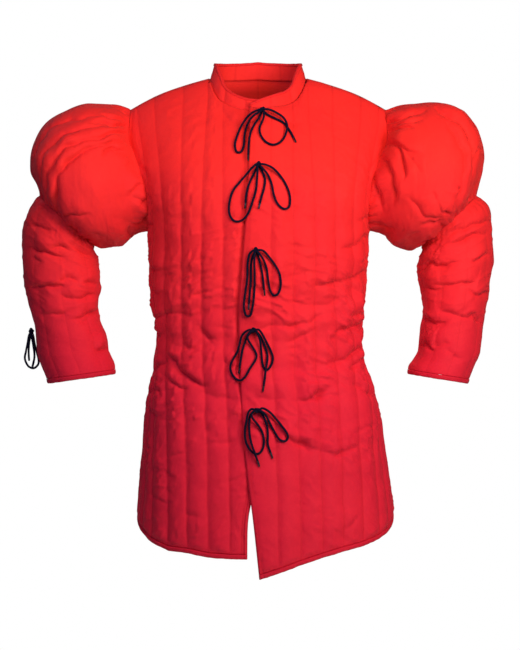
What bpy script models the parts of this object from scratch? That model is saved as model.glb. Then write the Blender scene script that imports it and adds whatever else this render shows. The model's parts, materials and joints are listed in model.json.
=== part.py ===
"""Gambeson: a quilted, padded jacket with puffed upper sleeves, filled out as it is when it is worn.

Metres, +Z up. The front faces -Y and the wearer's left is +X. The origin is the middle of the neck
opening, at the height of the shoulder seams beside the collar, where the shoulders carry the garment.

Every cloth piece is a wall: an inner face on the worn form and an outer face moved out by the padding.
The trunk's form is a stack of rounded sections, and the sleeves' is a row of rings along each arm.
"""

import math
from collections import namedtuple

import bmesh
import bpy
import numpy as np
from mathutils import Matrix, Vector
from mathutils.bvhtree import BVHTree

for leftover in list(bpy.data.objects):
    bpy.data.objects.remove(leftover)

# ------------------------------------------------------------------ driving sizes, in metres

CHANNEL = 0.0385  # from one stitch line to the next
FIRST_LINE = 0.0225  # from the centre front to the first stitch line
FRONT_CHANNELS = 5  # channels of full width on each front, beside its edge band
BACK_CHANNELS = 5  # channels of full width on each half of the back
SIDE_CHANNELS = 3  # channels beside the side seam, which take up the flare of the skirt
FRONT_FINER, BACK_FINER = 3, 2  # outer columns of points to a channel

WALL_AT_STITCH = 0.0045
WALL_AT_CROWN = 0.0080
WALL_AT_ARMHOLE = 0.0038
PUFF_WALL = 0.0035
SLEEVE_WALL_AT_STITCH = 0.0040
SLEEVE_WALL_AT_CROWN = 0.0062
SEAM_GAP = 0.0003  # between two pieces that are sewn together
ARMHOLE_GAP = 0.0007  # the same at the armhole, whose rim twists from row to row
LAP_LIFT = 0.0078  # how far the left front rides up where it laps over the right one

ARMPIT = -0.270  # height of the lower end of the armhole
NECK_SIDE = 0.088  # from the centre to the collar seam, along the shoulder seam
SQUARENESS = 2.3  # 2 makes an ellipse of a trunk section, more makes it squarer

COLLAR_WALL = 0.0050
COLLAR_FOOT = 0.0024  # height of the collar's lower edge above the panels' inner edge
BINDING_HEIGHT = 0.0085  # visible width of the bias binding round the hem and the cuffs
BINDING_THICK = 0.0080
CUFF_BINDING_THICK = 0.0065

LACE = 0.0040  # diameter of the laces
LACE_STEP = 0.0118  # from one point of a lace to the next

# ------------------------------------------------------------------ the trunk's form

# One row for each section of the inner face, from the neck down to below the hem.
# sway is how far the section's middle lies towards the wearer's left.
Section = namedtuple("Section", "height half_width front back sway")
TRUNK = (
    Section(0.030, 0.250, 0.118, 0.112, 0.000),
    Section(-0.058, 0.250, 0.128, 0.120, 0.000),
    Section(-0.110, 0.249, 0.134, 0.124, 0.000),
    Section(-0.150, 0.238, 0.138, 0.126, 0.000),
    Section(-0.200, 0.218, 0.142, 0.126, 0.000),
    Section(-0.270, 0.194, 0.142, 0.122, 0.001),
    Section(-0.310, 0.192, 0.140, 0.118, 0.001),
    Section(-0.400, 0.186, 0.131, 0.109, 0.000),
    Section(-0.454, 0.179, 0.126, 0.105, 0.002),
    Section(-0.508, 0.184, 0.129, 0.111, 0.003),
    Section(-0.580, 0.201, 0.138, 0.130, 0.007),
    Section(-0.652, 0.210, 0.147, 0.143, 0.010),
    Section(-0.724, 0.218, 0.154, 0.151, 0.012),
    Section(-0.789, 0.225, 0.159, 0.157, 0.0135),
    Section(-0.900, 0.230, 0.164, 0.162, 0.014),
)

# Height of the shoulder line over each distance from the centre, on the inner face.
Ridge = namedtuple("Ridge", "across height")
SHOULDER_LINE = (
    Ridge(0.000, 0.012),
    Ridge(0.050, 0.006),
    Ridge(0.088, -0.003),
    Ridge(0.130, -0.015),
    Ridge(0.175, -0.031),
    Ridge(0.205, -0.046),
    Ridge(0.240, -0.066),
)

# Share of a section's depth that the form has at each drop below the shoulder line.
Slope = namedtuple("Slope", "drop front back")
SHOULDER_SLOPE = (
    Slope(0.000, 0.00, 0.00),
    Slope(0.004, 0.13, 0.26),
    Slope(0.010, 0.20, 0.44),
    Slope(0.020, 0.28, 0.58),
    Slope(0.040, 0.40, 0.70),
    Slope(0.073, 0.56, 0.82),
    Slope(0.110, 0.73, 0.91),
    Slope(0.160, 0.91, 0.98),
    Slope(0.210, 1.00, 1.00),
    Slope(0.400, 1.00, 1.00),
)

# Where the armhole's edge lies, from the centre, at each height.
Edge = namedtuple("Edge", "height across")
ARMHOLE = (
    Edge(-0.060, 0.228),
    Edge(-0.110, 0.230),
    Edge(-0.150, 0.214),
    Edge(-0.200, 0.199),
    Edge(-0.250, 0.1935),
    Edge(-0.270, 0.194),
)

# The free edge of each front, as a distance towards the wearer's left of the centre front.
LEFT_EDGE = (
    Edge(-0.060, -0.015),
    Edge(-0.150, -0.016),
    Edge(-0.250, -0.021),
    Edge(-0.300, -0.025),
    Edge(-0.445, -0.034),
    Edge(-0.540, -0.031),
    Edge(-0.640, -0.025),
    Edge(-0.720, -0.017),
    Edge(-0.770, -0.010),
    Edge(-0.890, 0.003),
)
RIGHT_EDGE = (
    Edge(-0.060, 0.018),
    Edge(-0.450, 0.018),
    Edge(-0.640, 0.006),
    Edge(-0.740, -0.009),
    Edge(-0.780, -0.0165),
    Edge(-0.850, -0.0185),
)

# Height of the neckline over each distance from the centre.
FRONT_NECKLINE = (
    Ridge(0.000, -0.066),
    Ridge(0.030, -0.062),
    Ridge(0.055, -0.053),
    Ridge(0.075, -0.036),
    Ridge(0.088, -0.003),
)
BACK_NECKLINE_DROP = 0.010  # below the shoulder line, at the centre back

# Height of the wall's lower edge at each distance round from the centre front, above the binding.
Hem = namedtuple("Hem", "girth left right")
FRONT_HEM = (
    Hem(-0.030, -0.880, -0.842),
    Hem(0.000, -0.873, -0.842),
    Hem(0.080, -0.846, -0.842),
    Hem(0.130, -0.832, -0.834),
    Hem(0.175, -0.823, -0.831),
    Hem(0.205, -0.815, -0.823),
    Hem(0.240, -0.804, -0.808),
    Hem(0.280, -0.789, -0.792),
    Hem(0.340, -0.770, -0.770),
)
BACK_HEM = -0.770

# The rows of cloth points: shares of the way from the top edge to the armpit, then to the hem.
UPPER_ROWS = (0.0, 0.07, 0.20, 0.42, 0.68, 0.86, 0.95, 1.0)
LOWER_ROWS = (0.08, 0.15, 0.20, 0.25, 0.30, 0.35, 0.40, 0.47, 0.56, 0.68, 0.80, 0.91, 1.0)

UPPER = len(UPPER_ROWS)

# How far from the centre each stitch line reaches the shoulder seam or the neckline.
FRONT_LINE_TOPS = (0.0225, 0.057, 0.088, 0.131, 0.168, 0.190)
BACK_LINE_TOPS = (0.0, 0.044, 0.088, 0.122, 0.156, 0.190)

# The largest folds across the trunk, as troughs between two points of a panel.
# girth is the distance round from the centre; depth is how far the wall is pressed in.
Fold = namedtuple("Fold", "panel girth_a height_a girth_b height_b half_width depth")
TRUNK_FOLDS = (
    Fold("front_left", 0.070, -0.385, 0.150, -0.374, 0.016, 0.0055),
    Fold("front_left", 0.150, -0.374, 0.250, -0.335, 0.016, 0.0060),
    Fold("front_left", 0.130, -0.476, 0.250, -0.448, 0.017, 0.0060),
    Fold("front_left", 0.050, -0.640, 0.130, -0.674, 0.018, 0.0035),
    Fold("front_right", 0.255, -0.508, 0.100, -0.567, 0.018, 0.0065),
    Fold("front_right", 0.250, -0.420, 0.130, -0.432, 0.016, 0.0045),
    Fold("back", 0.260, -0.452, 0.090, -0.470, 0.018, 0.0060),
    Fold("back", 0.240, -0.375, 0.060, -0.400, 0.016, 0.0045),
    Fold("back", -0.260, -0.430, -0.070, -0.452, 0.018, 0.0055),
    Fold("back", -0.230, -0.520, -0.110, -0.500, 0.016, 0.0040),
)

# ------------------------------------------------------------------ the sleeves' form

# One row for each ring of an arm: the ring's outer end (out) and its
# inner end (in) as distances from the centre and heights, how far it reaches forward and back,
# and how far its middle lies behind the trunk's side seam.
Ring = namedtuple("Ring", "out_across out_height in_across in_height front back behind")
PUFF = (
    Ring(0.236, -0.054, 0.200, -0.270, 0.066, 0.060, 0.000),
    Ring(0.262, -0.046, 0.214, -0.274, 0.092, 0.084, 0.000),
    Ring(0.306, -0.046, 0.228, -0.282, 0.112, 0.102, 0.000),
    Ring(0.348, -0.060, 0.240, -0.296, 0.122, 0.112, 0.000),
    Ring(0.384, -0.087, 0.251, -0.305, 0.125, 0.116, 0.002),
    Ring(0.405, -0.124, 0.267, -0.308, 0.121, 0.114, 0.004),
    Ring(0.410, -0.162, 0.281, -0.306, 0.110, 0.104, 0.006),
    Ring(0.401, -0.192, 0.291, -0.299, 0.095, 0.092, 0.008),
    Ring(0.391, -0.211, 0.302, -0.293, 0.072, 0.072, 0.009),
)
SLEEVE = (
    Ring(0.402, -0.223, 0.302, -0.305, 0.068, 0.069, 0.011),
    Ring(0.411, -0.240, 0.298, -0.315, 0.070, 0.071, 0.012),
    Ring(0.419, -0.278, 0.292, -0.328, 0.071, 0.071, 0.013),
    Ring(0.422, -0.318, 0.287, -0.348, 0.070, 0.070, 0.013),
    Ring(0.420, -0.353, 0.285, -0.373, 0.069, 0.068, 0.012),
    Ring(0.413, -0.388, 0.288, -0.400, 0.066, 0.065, 0.010),
    Ring(0.403, -0.432, 0.285, -0.434, 0.062, 0.061, 0.006),
    Ring(0.399, -0.471, 0.276, -0.469, 0.059, 0.058, 0.001),
    Ring(0.395, -0.493, 0.273, -0.489, 0.058, 0.056, -0.002),
    Ring(0.387, -0.512, 0.266, -0.505, 0.057, 0.055, -0.005),
    Ring(0.380, -0.527, 0.262, -0.517, 0.056, 0.054, -0.008),
    Ring(0.375, -0.539, 0.262, -0.523, 0.055, 0.054, -0.010),
)
SLEEVE_CHANNELS = 9  # stitch lines along the lower sleeve

ARM_LEAN = 0.012  # how much farther out the inner side of the left sleeve hangs, by the cuff
SLIT = 0.125  # length of the slit at the cuff
SLIT_TURN = {-1: math.radians(-28), 1: math.radians(-82)}  # from the arm's outer side to the back
SLIT_GAPE = 0.0035  # half the slit's width at the hem
PLEATS = 14  # gathers round the puff
PLEAT_DEPTHS = (0.0025, 0.0050, 0.0050, 0.0042, 0.0042, 0.0050, 0.0055, 0.0040)  # from PUFF's second ring


# ------------------------------------------------------------------ the ties

# The ties are laid out in units of LAY across and down a sheet held up to the front, with its middle
# at (260, 325) and LAY_MIDDLE. A route's third number is how far the lace's middle lies off the cloth,
# in millimetres. Loops come back to their knot; ends run free and finish in a tip.
LAY = 0.001765
LAY_MIDDLE = (0.0036, -0.4464)
KNOT_RADIUS = 0.0052
KNOT_REACH = 0.0016  # from a knot to the middle of a lace's end
TIP_LENGTH = 0.0115

KNOTS = {
    1: (262.5, 107.5, 8.6),
    2: (258.5, 164, 6.4),
    3: (256, 249, 5.6),
    4: (254, 328, 5.8),
    5: (257, 407, 6.1),
}
ROUTES = {
    (1, "loop_left"): (
        (255, 109.5, 8.6), (248, 114.5, 8.6), (241, 125, 4), (236.5, 137, 2.4), (235, 145, 2.4),
        (237, 151.5, 2.4), (241.5, 151, 2.4), (244, 144, 2.4), (244.5, 135, 2.4), (246.5, 125, 4),
        (251.5, 116.5, 10), (257.5, 111.5, 11),
    ),
    (1, "end_left"): (
        (259.5, 115.5, 2.4), (254.5, 123, 2.4), (250.5, 132, 2.4), (249, 142, 2.4), (248.3, 154.5, 2.4),
    ),
    (1, "loop_right"): (
        (269, 107.5, 8.6), (276.5, 111, 8.6), (283.5, 116, 8), (287, 123, 7.4), (286.5, 130, 6),
        (282.5, 139, 2.4), (275, 144, 2.4), (267, 142, 2.4), (261, 135, 2.4), (259.5, 127, 2.4),
        (262.5, 119.5, 5), (264, 115, 8.6),
    ),
    (1, "end_right"): (
        (268, 113, 2.4), (276, 117, 2.4), (284, 121.5, 2.4), (290, 129.5, 2.4), (293.3, 136, 2.4),
    ),
    (2, "loop_left"): (
        (252, 168, 8.6), (246, 175, 8.6), (239.5, 182.5, 3), (233.5, 190, 2.4), (230, 201, 2.4),
        (229.5, 212, 2.4), (234, 220, 2.4), (241.5, 220, 2.4), (248, 213.5, 2.4), (252.5, 202, 2.4),
        (256, 190, 2.4), (257, 179, 3), (257.5, 171, 8.6),
    ),
    (2, "end_left"): ((254.5, 172.5, 2.4), (250, 182, 2.4), (246.8, 192, 2.4), (245.6, 202, 2.4)),
    (2, "loop_right"): (
        (265, 164.5, 8.6), (272.5, 168, 8.6), (279.5, 175, 4), (285.5, 184, 2.4), (289.5, 195, 2.4),
        (289, 206, 2.4), (283.5, 208.5, 2.4), (277, 203, 2.4), (273.5, 194, 2.4), (271.5, 184, 2.4),
        (268, 175, 5), (263.5, 169.5, 8.6),
    ),
    (2, "end_right"): (
        (262, 171, 2.4), (265, 179, 2.4), (264, 188, 2.4), (261.5, 196.5, 2.4), (260, 202.5, 2.4),
    ),
    (3, "loop_left"): (
        (249.6, 253, 5), (247.6, 264, 2.4), (247.4, 277, 2.4), (245.5, 291, 2.4), (244, 304, 2.4),
        (246, 313.5, 2.4), (250.5, 313.5, 2.4), (253.2, 302, 2.4), (254.5, 288, 2.4), (254.6, 273, 3),
        (254.4, 260, 8),
    ),
    (3, "end_left"): (
        (252, 258, 2.4), (251, 268, 2.4), (250.9, 280, 2.4), (249.8, 293, 2.4), (249, 302, 2.4),
    ),
    (3, "loop_right"): (
        (263, 249.5, 8.6), (269, 256, 5), (275, 264, 2.4), (279.5, 273, 2.4), (280.5, 284, 2.4),
        (278, 292, 2.4), (273.5, 294, 2.4), (270, 288.5, 2.4), (268, 278, 2.4), (266.5, 267, 2.4),
        (262.5, 257, 8.6),
    ),
    (3, "end_right"): ((258.8, 257, 2.4), (261.3, 267, 2.4), (263, 278, 2.4), (264, 288, 2.4)),
    (4, "loop_left"): (
        (247.5, 329, 8.6), (242, 334, 6), (239, 342, 2.4), (237, 350, 2.4), (233, 357.5, 2.4),
        (230.5, 365, 2.4), (233.5, 373.5, 2.4), (240, 378, 2.4), (245.5, 374, 2.4), (250, 366, 2.4),
        (255, 357.5, 2.4), (256, 351.5, 2.4), (252.5, 344, 5), (250, 336, 8.6),
    ),
    (4, "end_left"): (
        (248, 335, 2.4), (245, 342, 2.4), (242.5, 350, 2.4), (240.8, 358.5, 2.4), (239.8, 365, 2.4),
    ),
    (4, "loop_right"): (
        (260.5, 328.5, 8.6), (265.5, 336, 8.6), (270, 345, 4), (272.8, 355, 2.4), (271, 363, 2.4),
        (266, 368, 2.4), (262.6, 362, 2.4), (261.6, 353, 2.4), (260.4, 344, 5), (257.5, 335.5, 8.6),
    ),
    (4, "end_right"): (
        (260, 335, 2.4), (264.5, 343, 2.4), (267.3, 352, 2.4), (267, 359.5, 5), (265.6, 367, 8.6),
        (264.8, 375, 5), (263.6, 383, 2.4),
    ),
    (5, "loop_left"): (
        (250.5, 408.5, 8.6), (247.3, 417, 8.6), (245.3, 427, 3), (245.8, 437, 2.4), (250.3, 446, 2.4),
        (256.8, 450, 2.4), (262, 446.5, 2.4), (264, 437.5, 2.4), (262.2, 428, 2.4), (258.5, 420, 4),
        (256, 413.5, 8.6),
    ),
    (5, "end_left"): (
        (252.5, 414.5, 2.4), (251, 424, 2.4), (251.5, 434, 2.4), (253, 442, 5), (255, 449, 8.6),
        (257.5, 456.5, 4),
    ),
    (5, "loop_right"): (
        (264, 406.5, 8.6), (271, 411.5, 8.6), (277.5, 419.5, 4), (283.5, 427.5, 2.4), (286.5, 433, 2.4),
        (283.5, 435.5, 2.4), (278.5, 431, 2.4), (273.5, 423.5, 4), (267.5, 416, 8.6), (262.5, 412, 8.6),
    ),
    (5, "end_right"): (
        (261.5, 414, 2.4), (265.5, 422, 2.4), (267.8, 431, 2.4), (267.6, 440, 2.4), (270.3, 448.5, 2.4),
    ),
}

# Which way each part leaves its knot, and the way a loop comes back, in starting distances: across,
# forward and up.
LEAVING = {
    "loop_left": ((-0.90, 0.42, -0.08), (-0.52, 0.60, -0.60)),
    "loop_right": ((0.90, 0.42, -0.08), (0.52, 0.60, -0.60)),
    "end_left": ((-0.40, -0.40, -0.82),),
    "end_right": ((0.40, -0.40, -0.82),),
    "loop": ((-0.46, 0.0, -0.81), (0.46, 0.0, -0.81)),
    "end_back": ((0.0, -0.78, -0.56),),
    "end_front": ((0.0, 0.78, -0.56),),
}

# Laces that start nearer to their knot, and by how much.
NEARER = {(1, "loop_left"): 0.95, (3, "end_left"): 0.90, (3, "end_right"): 0.90, (4, "end_left"): 0.96}

# The right wrist's tie hangs free beside the cuff's slit: across, y and height in millimetres.
WRIST_KNOT = (-410.6, 20, -453)
WRIST_ROUTES = {
    "loop": (
        (-415.1, 20, -463), (-417.1, 20, -475), (-420.1, 20, -490), (-422.1, 20, -504),
        (-416.1, 20, -517), (-406.1, 20, -521), (-398.1, 20, -514), (-397.6, 20, -504),
        (-401.1, 20, -490), (-404.6, 20, -476), (-406.6, 20, -464),
    ),
    "end_back": ((-413.1, 27, -464), (-415.1, 28, -475), (-416.1, 28, -492), (-415.1, 28, -508)),
    "end_front": ((-409.1, 13, -464), (-406.1, 12, -480), (-404.1, 12, -500), (-408.1, 12, -520)),
}

# ------------------------------------------------------------------ small helpers


def column(table, name):
    return np.array([getattr(row, name) for row in table], float)


def smooth(at, stations, values):
    """A cubic curve through the values at rising stations, level at each hump and hollow."""
    at = np.clip(at, stations[0], stations[-1])
    steps = np.diff(stations)
    chords = np.diff(values) / steps
    slopes = np.concatenate([[chords[0]], (chords[1:] + chords[:-1]) / 2, [chords[-1]]])
    slopes[1:-1][chords[1:] * chords[:-1] <= 0] = 0.0
    i = np.clip(np.searchsorted(stations, at, side="right") - 1, 0, len(steps) - 1)
    t = (at - stations[i]) / steps[i]
    rise = values[i + 1] - values[i]
    ease = t * t * (3 - 2 * t)
    lead = t * (1 - t) * ((1 - t) * slopes[i] - t * slopes[i + 1]) * steps[i]
    return values[i] + ease * rise + lead


def by_height(table, name, height):
    """The named column of a table whose rows run downwards, at a height."""
    return smooth(height, column(table, "height")[::-1], column(table, name)[::-1])


def by_across(table, name, across):
    return smooth(np.abs(across), column(table, "across"), column(table, name))


def ease(value):
    """0 below 0, 1 above 1, and a soft S between."""
    value = np.clip(value, 0.0, 1.0)
    return value * value * (3 - 2 * value)


def unit(vectors):
    return vectors / np.maximum(np.linalg.norm(vectors, axis=-1, keepdims=True), 1e-12)


def material(name, colour, roughness):
    made = bpy.data.materials.new(name)
    made.diffuse_color = (*colour, 1.0)
    made.use_nodes = True
    shader = made.node_tree.nodes["Principled BSDF"]
    shader.inputs["Base Color"].default_value = (*colour, 1.0)
    shader.inputs["Roughness"].default_value = roughness
    shader.inputs["Metallic"].default_value = 0.0
    return made


def add_object(name, mesh_builder, finish):
    """A mesh object of its own from a filled bmesh, shaded smooth."""
    mesh = bpy.data.meshes.new(name)
    bmesh.ops.recalc_face_normals(mesh_builder, faces=mesh_builder.faces)
    mesh_builder.to_mesh(mesh)
    mesh_builder.free()
    mesh.materials.append(finish)
    mesh.shade_smooth()
    made = bpy.data.objects.new(name, mesh)
    bpy.context.scene.collection.objects.link(made)
    return made


def wall(name, strips, finish, joins=()):
    """A closed wall made of strips, each an inner and an outer grid of points with the same rows.

    An outer grid may have a whole number of times as many columns as its inner one, and a strip may
    give a third item, the inner face's top row with as many points as the outer one's. Each join is
    (i, j, rows): the last column of strip i is the first column of strip j in the upper rows.
    """
    builder = bmesh.new()
    rows = len(strips[0][0])
    grids = [
        [[[builder.verts.new(p) for p in row] for row in grid] for grid in strip[:2]] for strip in strips
    ]
    open_first = {i: 0 for i in range(len(strips))}
    open_last = dict(open_first)
    for i, j, joined in joins:
        for side in (0, 1):
            for r in range(joined):
                builder.verts.remove(grids[i][side][r][-1])
                grids[i][side][r][-1] = grids[j][side][r][0]
        open_last[i] = open_first[j] = joined
    for i, (inner, outer) in enumerate(grids):
        finer = (len(outer[0]) - 1) // (len(inner[0]) - 1)
        top = None
        if len(strips[i]) > 2:
            top = [inner[0][c // finer] if c % finer == 0 else builder.verts.new(p)
                   for c, p in enumerate(strips[i][2])]
        for verts in (inner, outer):
            for r in range(rows - 1):
                for c in range(len(verts[0]) - 1):
                    if top and verts is inner and r == 0:
                        run = top[c * finer : (c + 1) * finer + 1]
                        builder.faces.new((*run, verts[1][c + 1], verts[1][c]))
                    else:
                        upper, lower = verts[r], verts[r + 1]
                        builder.faces.new((upper[c], upper[c + 1], lower[c + 1], lower[c]))
        for r in (0, rows - 1):
            for c in range(len(inner[0]) - 1):
                if top and r == 0:
                    for k in range(c * finer, (c + 1) * finer):
                        builder.faces.new((top[k], outer[0][k], outer[0][k + 1], top[k + 1]))
                else:
                    run = outer[r][c * finer : (c + 1) * finer + 1]
                    builder.faces.new((inner[r][c], *run, inner[r][c + 1]))
        for c, opened in ((0, open_first[i]), (-1, open_last[i])):
            for r in range(max(opened - 1, 0), rows - 1):
                builder.faces.new((inner[r][c], inner[r + 1][c], outer[r + 1][c], outer[r][c]))
    return add_object(name, builder, finish)


def binding(name, inner_edge, outer_edge, away, height, thick, finish, gap=SEAM_GAP):
    """A rounded band along the rim of a wall, a seam's gap away from it."""
    section = ((-0.5, 0.0), (-0.5, 0.72), (-0.26, 1.0), (0.26, 1.0), (0.5, 0.72), (0.5, 0.0))
    builder = bmesh.new()
    middle = (inner_edge + outer_edge) / 2
    through = unit(outer_edge - inner_edge)
    rings = []
    for m, t, d in zip(middle, through, away):
        rings.append([builder.verts.new(m + t * u * thick + d * (gap + v * height)) for u, v in section])
    for ring, following in zip(rings, rings[1:]):
        for k in range(len(section)):
            n = (k + 1) % len(section)
            builder.faces.new((ring[k], ring[n], following[n], following[k]))
    builder.faces.new(rings[0])
    builder.faces.new(rings[-1])
    return add_object(name, builder, finish)


# ------------------------------------------------------------------ the trunk


def trunk_point(angle, height, back):
    """A point of the trunk's inner face: angle is 0 at the centre and a quarter turn at the side."""
    power = 2 / SQUARENESS
    across = by_height(TRUNK, "half_width", height) * np.abs(np.sin(angle)) ** power
    face = "back" if back else "front"
    depth = by_height(TRUNK, face, height) * np.abs(np.cos(angle)) ** power
    drop = by_across(SHOULDER_LINE, "height", across) - height
    share = smooth(drop, column(SHOULDER_SLOPE, "drop"), column(SHOULDER_SLOPE, face))
    y = depth * share * (1 if back else -1)
    return np.stack(np.broadcast_arrays(np.sign(angle) * across, y, height), -1)


def angle_at_across(across, height):
    ratio = np.clip(np.abs(across) / by_height(TRUNK, "half_width", height), 0.0, 1.0)
    return np.sign(across) * np.arcsin(ratio ** (SQUARENESS / 2))


FINE_ANGLES = np.linspace(0.0, math.pi / 2, 240)
LEVELS = np.linspace(TRUNK[-1].height, TRUNK[0].height, 187)  # heights at which columns are worked out
ARMPIT_LEVEL = int(np.argmin(np.abs(LEVELS - ARMPIT)))


def girths(height, back):
    """Distances round the section from the centre to each of FINE_ANGLES."""
    points = trunk_point(FINE_ANGLES, np.full_like(FINE_ANGLES, height), back)
    return np.concatenate([[0.0], np.cumsum(np.linalg.norm(np.diff(points, axis=0), axis=1))])


GIRTHS = {back: np.array([girths(level, back) for level in LEVELS]) for back in (False, True)}


def angle_at_girth(girth, level_index, back):
    return math.copysign(float(np.interp(abs(girth), GIRTHS[back][level_index], FINE_ANGLES)), girth)


def girth_at_angle(angle, height, back):
    level_index = int(np.argmin(np.abs(LEVELS - height)))
    return math.copysign(float(np.interp(abs(angle), FINE_ANGLES, GIRTHS[back][level_index])), angle)


def column_angles(line, back, first_line, full_channels, tops, edge_at):
    """The angle of one column of cloth at each of LEVELS.

    line counts stitch lines from the first one; -1 is the free edge of a front. Above the armpit each
    line runs on to its place on the shoulder, and the side lines bend along the armhole.
    """
    last_full = first_line + full_channels * CHANNEL

    def girth(k):
        if line < 1 and edge_at:
            edge = edge_at(LEVELS[k])
            first = max(first_line, edge + 0.010)
            if line < 0:
                return edge + (first - edge) * (line + 1)
            return first + (first_line + CHANNEL - first) * line
        if line <= full_channels:
            return first_line + line * CHANNEL
        share = (line - full_channels) / SIDE_CHANNELS
        return last_full + share * (GIRTHS[back][k][-1] - last_full)

    def across_above(k, of_line, of_girth):
        """Distance from the centre of a full channel's line, above the armpit."""
        start = float(trunk_point(np.array(angle_at_girth(of_girth, ARMPIT_LEVEL, back)), ARMPIT, False)[0])
        end = float(np.interp(of_line, range(len(tops)), tops)) if of_line >= 0 else start
        if of_line < 0:
            return of_girth
        return start + (end - start) * float(ease((LEVELS[k] - ARMPIT) / (-0.03 - ARMPIT)))

    angles = np.empty(len(LEVELS))
    for k, level in enumerate(LEVELS):
        if k <= ARMPIT_LEVEL:
            angles[k] = angle_at_girth(girth(k), k, back)
        elif line <= full_channels:
            angles[k] = angle_at_across(across_above(k, line, girth(k)), level)
        else:
            share = (line - full_channels) / SIDE_CHANNELS
            inner = across_above(k, full_channels, last_full)
            edge = float(by_height(ARMHOLE, "across", level))
            angles[k] = angle_at_across(inner + share * (edge - inner), level)
    return angles


def top_height(angles, back):
    """Height of a column's upper end, on the shoulder seam or the neckline."""
    height = -0.03
    for _ in range(40):
        angle = float(np.interp(height, LEVELS, angles))
        across = abs(float(trunk_point(np.array(angle), height, back)[0]))
        line = float(by_across(SHOULDER_LINE, "height", across))
        if across >= NECK_SIDE - 1e-5:
            height = line
        elif back:
            height = line - BACK_NECKLINE_DROP * (1 - (across / NECK_SIDE) ** 2)
        else:
            height = float(by_across(FRONT_NECKLINE, "height", across))
    return height


def fold_depth(panel, girth, height):
    """How far the panel's folds press its wall in at each place, with a soft roll above each trough."""
    total = np.zeros_like(height)
    for fold in TRUNK_FOLDS:
        if fold.panel != panel:
            continue
        start = np.array((fold.girth_a, fold.height_a))
        run = np.array((fold.girth_b, fold.height_b)) - start
        away = np.stack([girth - start[0], height - start[1]], axis=-1)
        along = np.clip((away @ run) / (run @ run), 0.0, 1.0)
        across = away - along[..., None] * run
        distance = np.linalg.norm(across, axis=-1) * np.where(across[..., 1] < 0, -1, 1)
        trough = np.exp(-((distance / fold.half_width) ** 2))
        roll = np.exp(-(((distance - 2 * fold.half_width) / fold.half_width) ** 2))
        total += fold.depth * (trough - 0.5 * roll)
    return total


def trunk_strip(panel, lines, back, first_line, full_channels, tops, hem, edge_at=None, mirror=False):
    """Form points, unit normals, padding and distances round of a strip of a panel."""
    finer = BACK_FINER if back else FRONT_FINER
    fine = np.interp(np.arange(finer * (len(lines) - 1) + 1) / finer, range(len(lines)), lines)
    columns, rounds = [], []
    coarse_hem = []
    for line in lines:
        angles = column_angles(line, back, first_line, full_channels, tops, edge_at)
        coarse_hem.append(hem(girth_at_angle(float(np.interp(-0.82, LEVELS, angles)), -0.82, back)))
    hems = np.interp(fine, lines, coarse_hem)
    for line, bottom in zip(fine, hems):
        angles = column_angles(line, back, first_line, full_channels, tops, edge_at)
        top = top_height(angles, back)
        heights = np.concatenate(
            [
                top + (ARMPIT - top) * np.array(UPPER_ROWS),
                ARMPIT + (bottom - ARMPIT) * np.array(LOWER_ROWS),
            ]
        )
        angle = np.interp(heights, LEVELS, angles)
        columns.append(trunk_point(angle, heights, back))
        rounds.append([girth_at_angle(a, h, back) for a, h in zip(angle, heights)])
    form = np.stack(columns, axis=1)
    rounds = np.array(rounds).T
    if mirror:
        form, rounds = form * (-1, 1, 1), -rounds
    form[..., 0] += by_height(TRUNK, "sway", form[..., 2])
    across, down = np.gradient(form, axis=1), np.gradient(form, axis=0)
    normals = np.cross(down, across)
    if mirror != back:
        normals = -normals
    seam = np.abs(form[..., 1]) < 1e-6
    normals[..., 1][seam] = 0.0
    normals = unit(normals)
    width = np.linalg.norm(np.gradient(form, axis=1), axis=-1) * finer
    crown = np.sin(math.pi * (np.arange(form.shape[1]) % finer) / finer)
    crown = crown * np.clip((width - 0.008) / 0.024, 0.2, 1)  # narrow channels are flatter
    padding = WALL_AT_STITCH + (WALL_AT_CROWN - WALL_AT_STITCH) * crown
    padding[: UPPER + 1, -3:] = WALL_AT_ARMHOLE
    press = fold_depth(panel, rounds, form[..., 2])
    return form - normals * press[..., None], normals, padding, rounds


def apart(points, back):
    """The same points kept clear of the seams that lie in the plane of the side seams."""
    kept = points.copy()
    gap = SEAM_GAP / 2
    kept[..., 1] = np.maximum(points[..., 1], gap) if back else np.minimum(points[..., 1], -gap)
    return kept


RED = material("padded red cotton", (0.72, 0.045, 0.045), 0.55)
TAPE = material("red cotton tape", (0.62, 0.035, 0.04), 0.6)
CORD = material("navy cord", (0.012, 0.013, 0.025), 0.7)
TIP = material("grey metal tips", (0.45, 0.45, 0.46), 0.35)

FRONT_LINES = np.arange(-1, FRONT_CHANNELS + SIDE_CHANNELS + 1.0)
BACK_LINES = np.arange(0, BACK_CHANNELS + SIDE_CHANNELS + 1.0)


def front_hem(side):
    return lambda girth: float(smooth(girth, column(FRONT_HEM, "girth"), column(FRONT_HEM, side)))


def left_edge(height):
    return float(by_height(LEFT_EDGE, "across", height) - by_height(TRUNK, "sway", height))


def right_edge(height):
    return -float(by_height(RIGHT_EDGE, "across", height) - by_height(TRUNK, "sway", height))


left = trunk_strip(
    "front_left", FRONT_LINES, False, FIRST_LINE, FRONT_CHANNELS, FRONT_LINE_TOPS, front_hem("left"),
    left_edge,
)
right = trunk_strip(
    "front_right", FRONT_LINES, False, FIRST_LINE, FRONT_CHANNELS, FRONT_LINE_TOPS, front_hem("right"),
    right_edge, mirror=True,
)
back_left, back_right = (
    trunk_strip("back", BACK_LINES, True, 0.0, BACK_CHANNELS, BACK_LINE_TOPS, lambda g: BACK_HEM, mirror=m)
    for m in (False, True)
)


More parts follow.
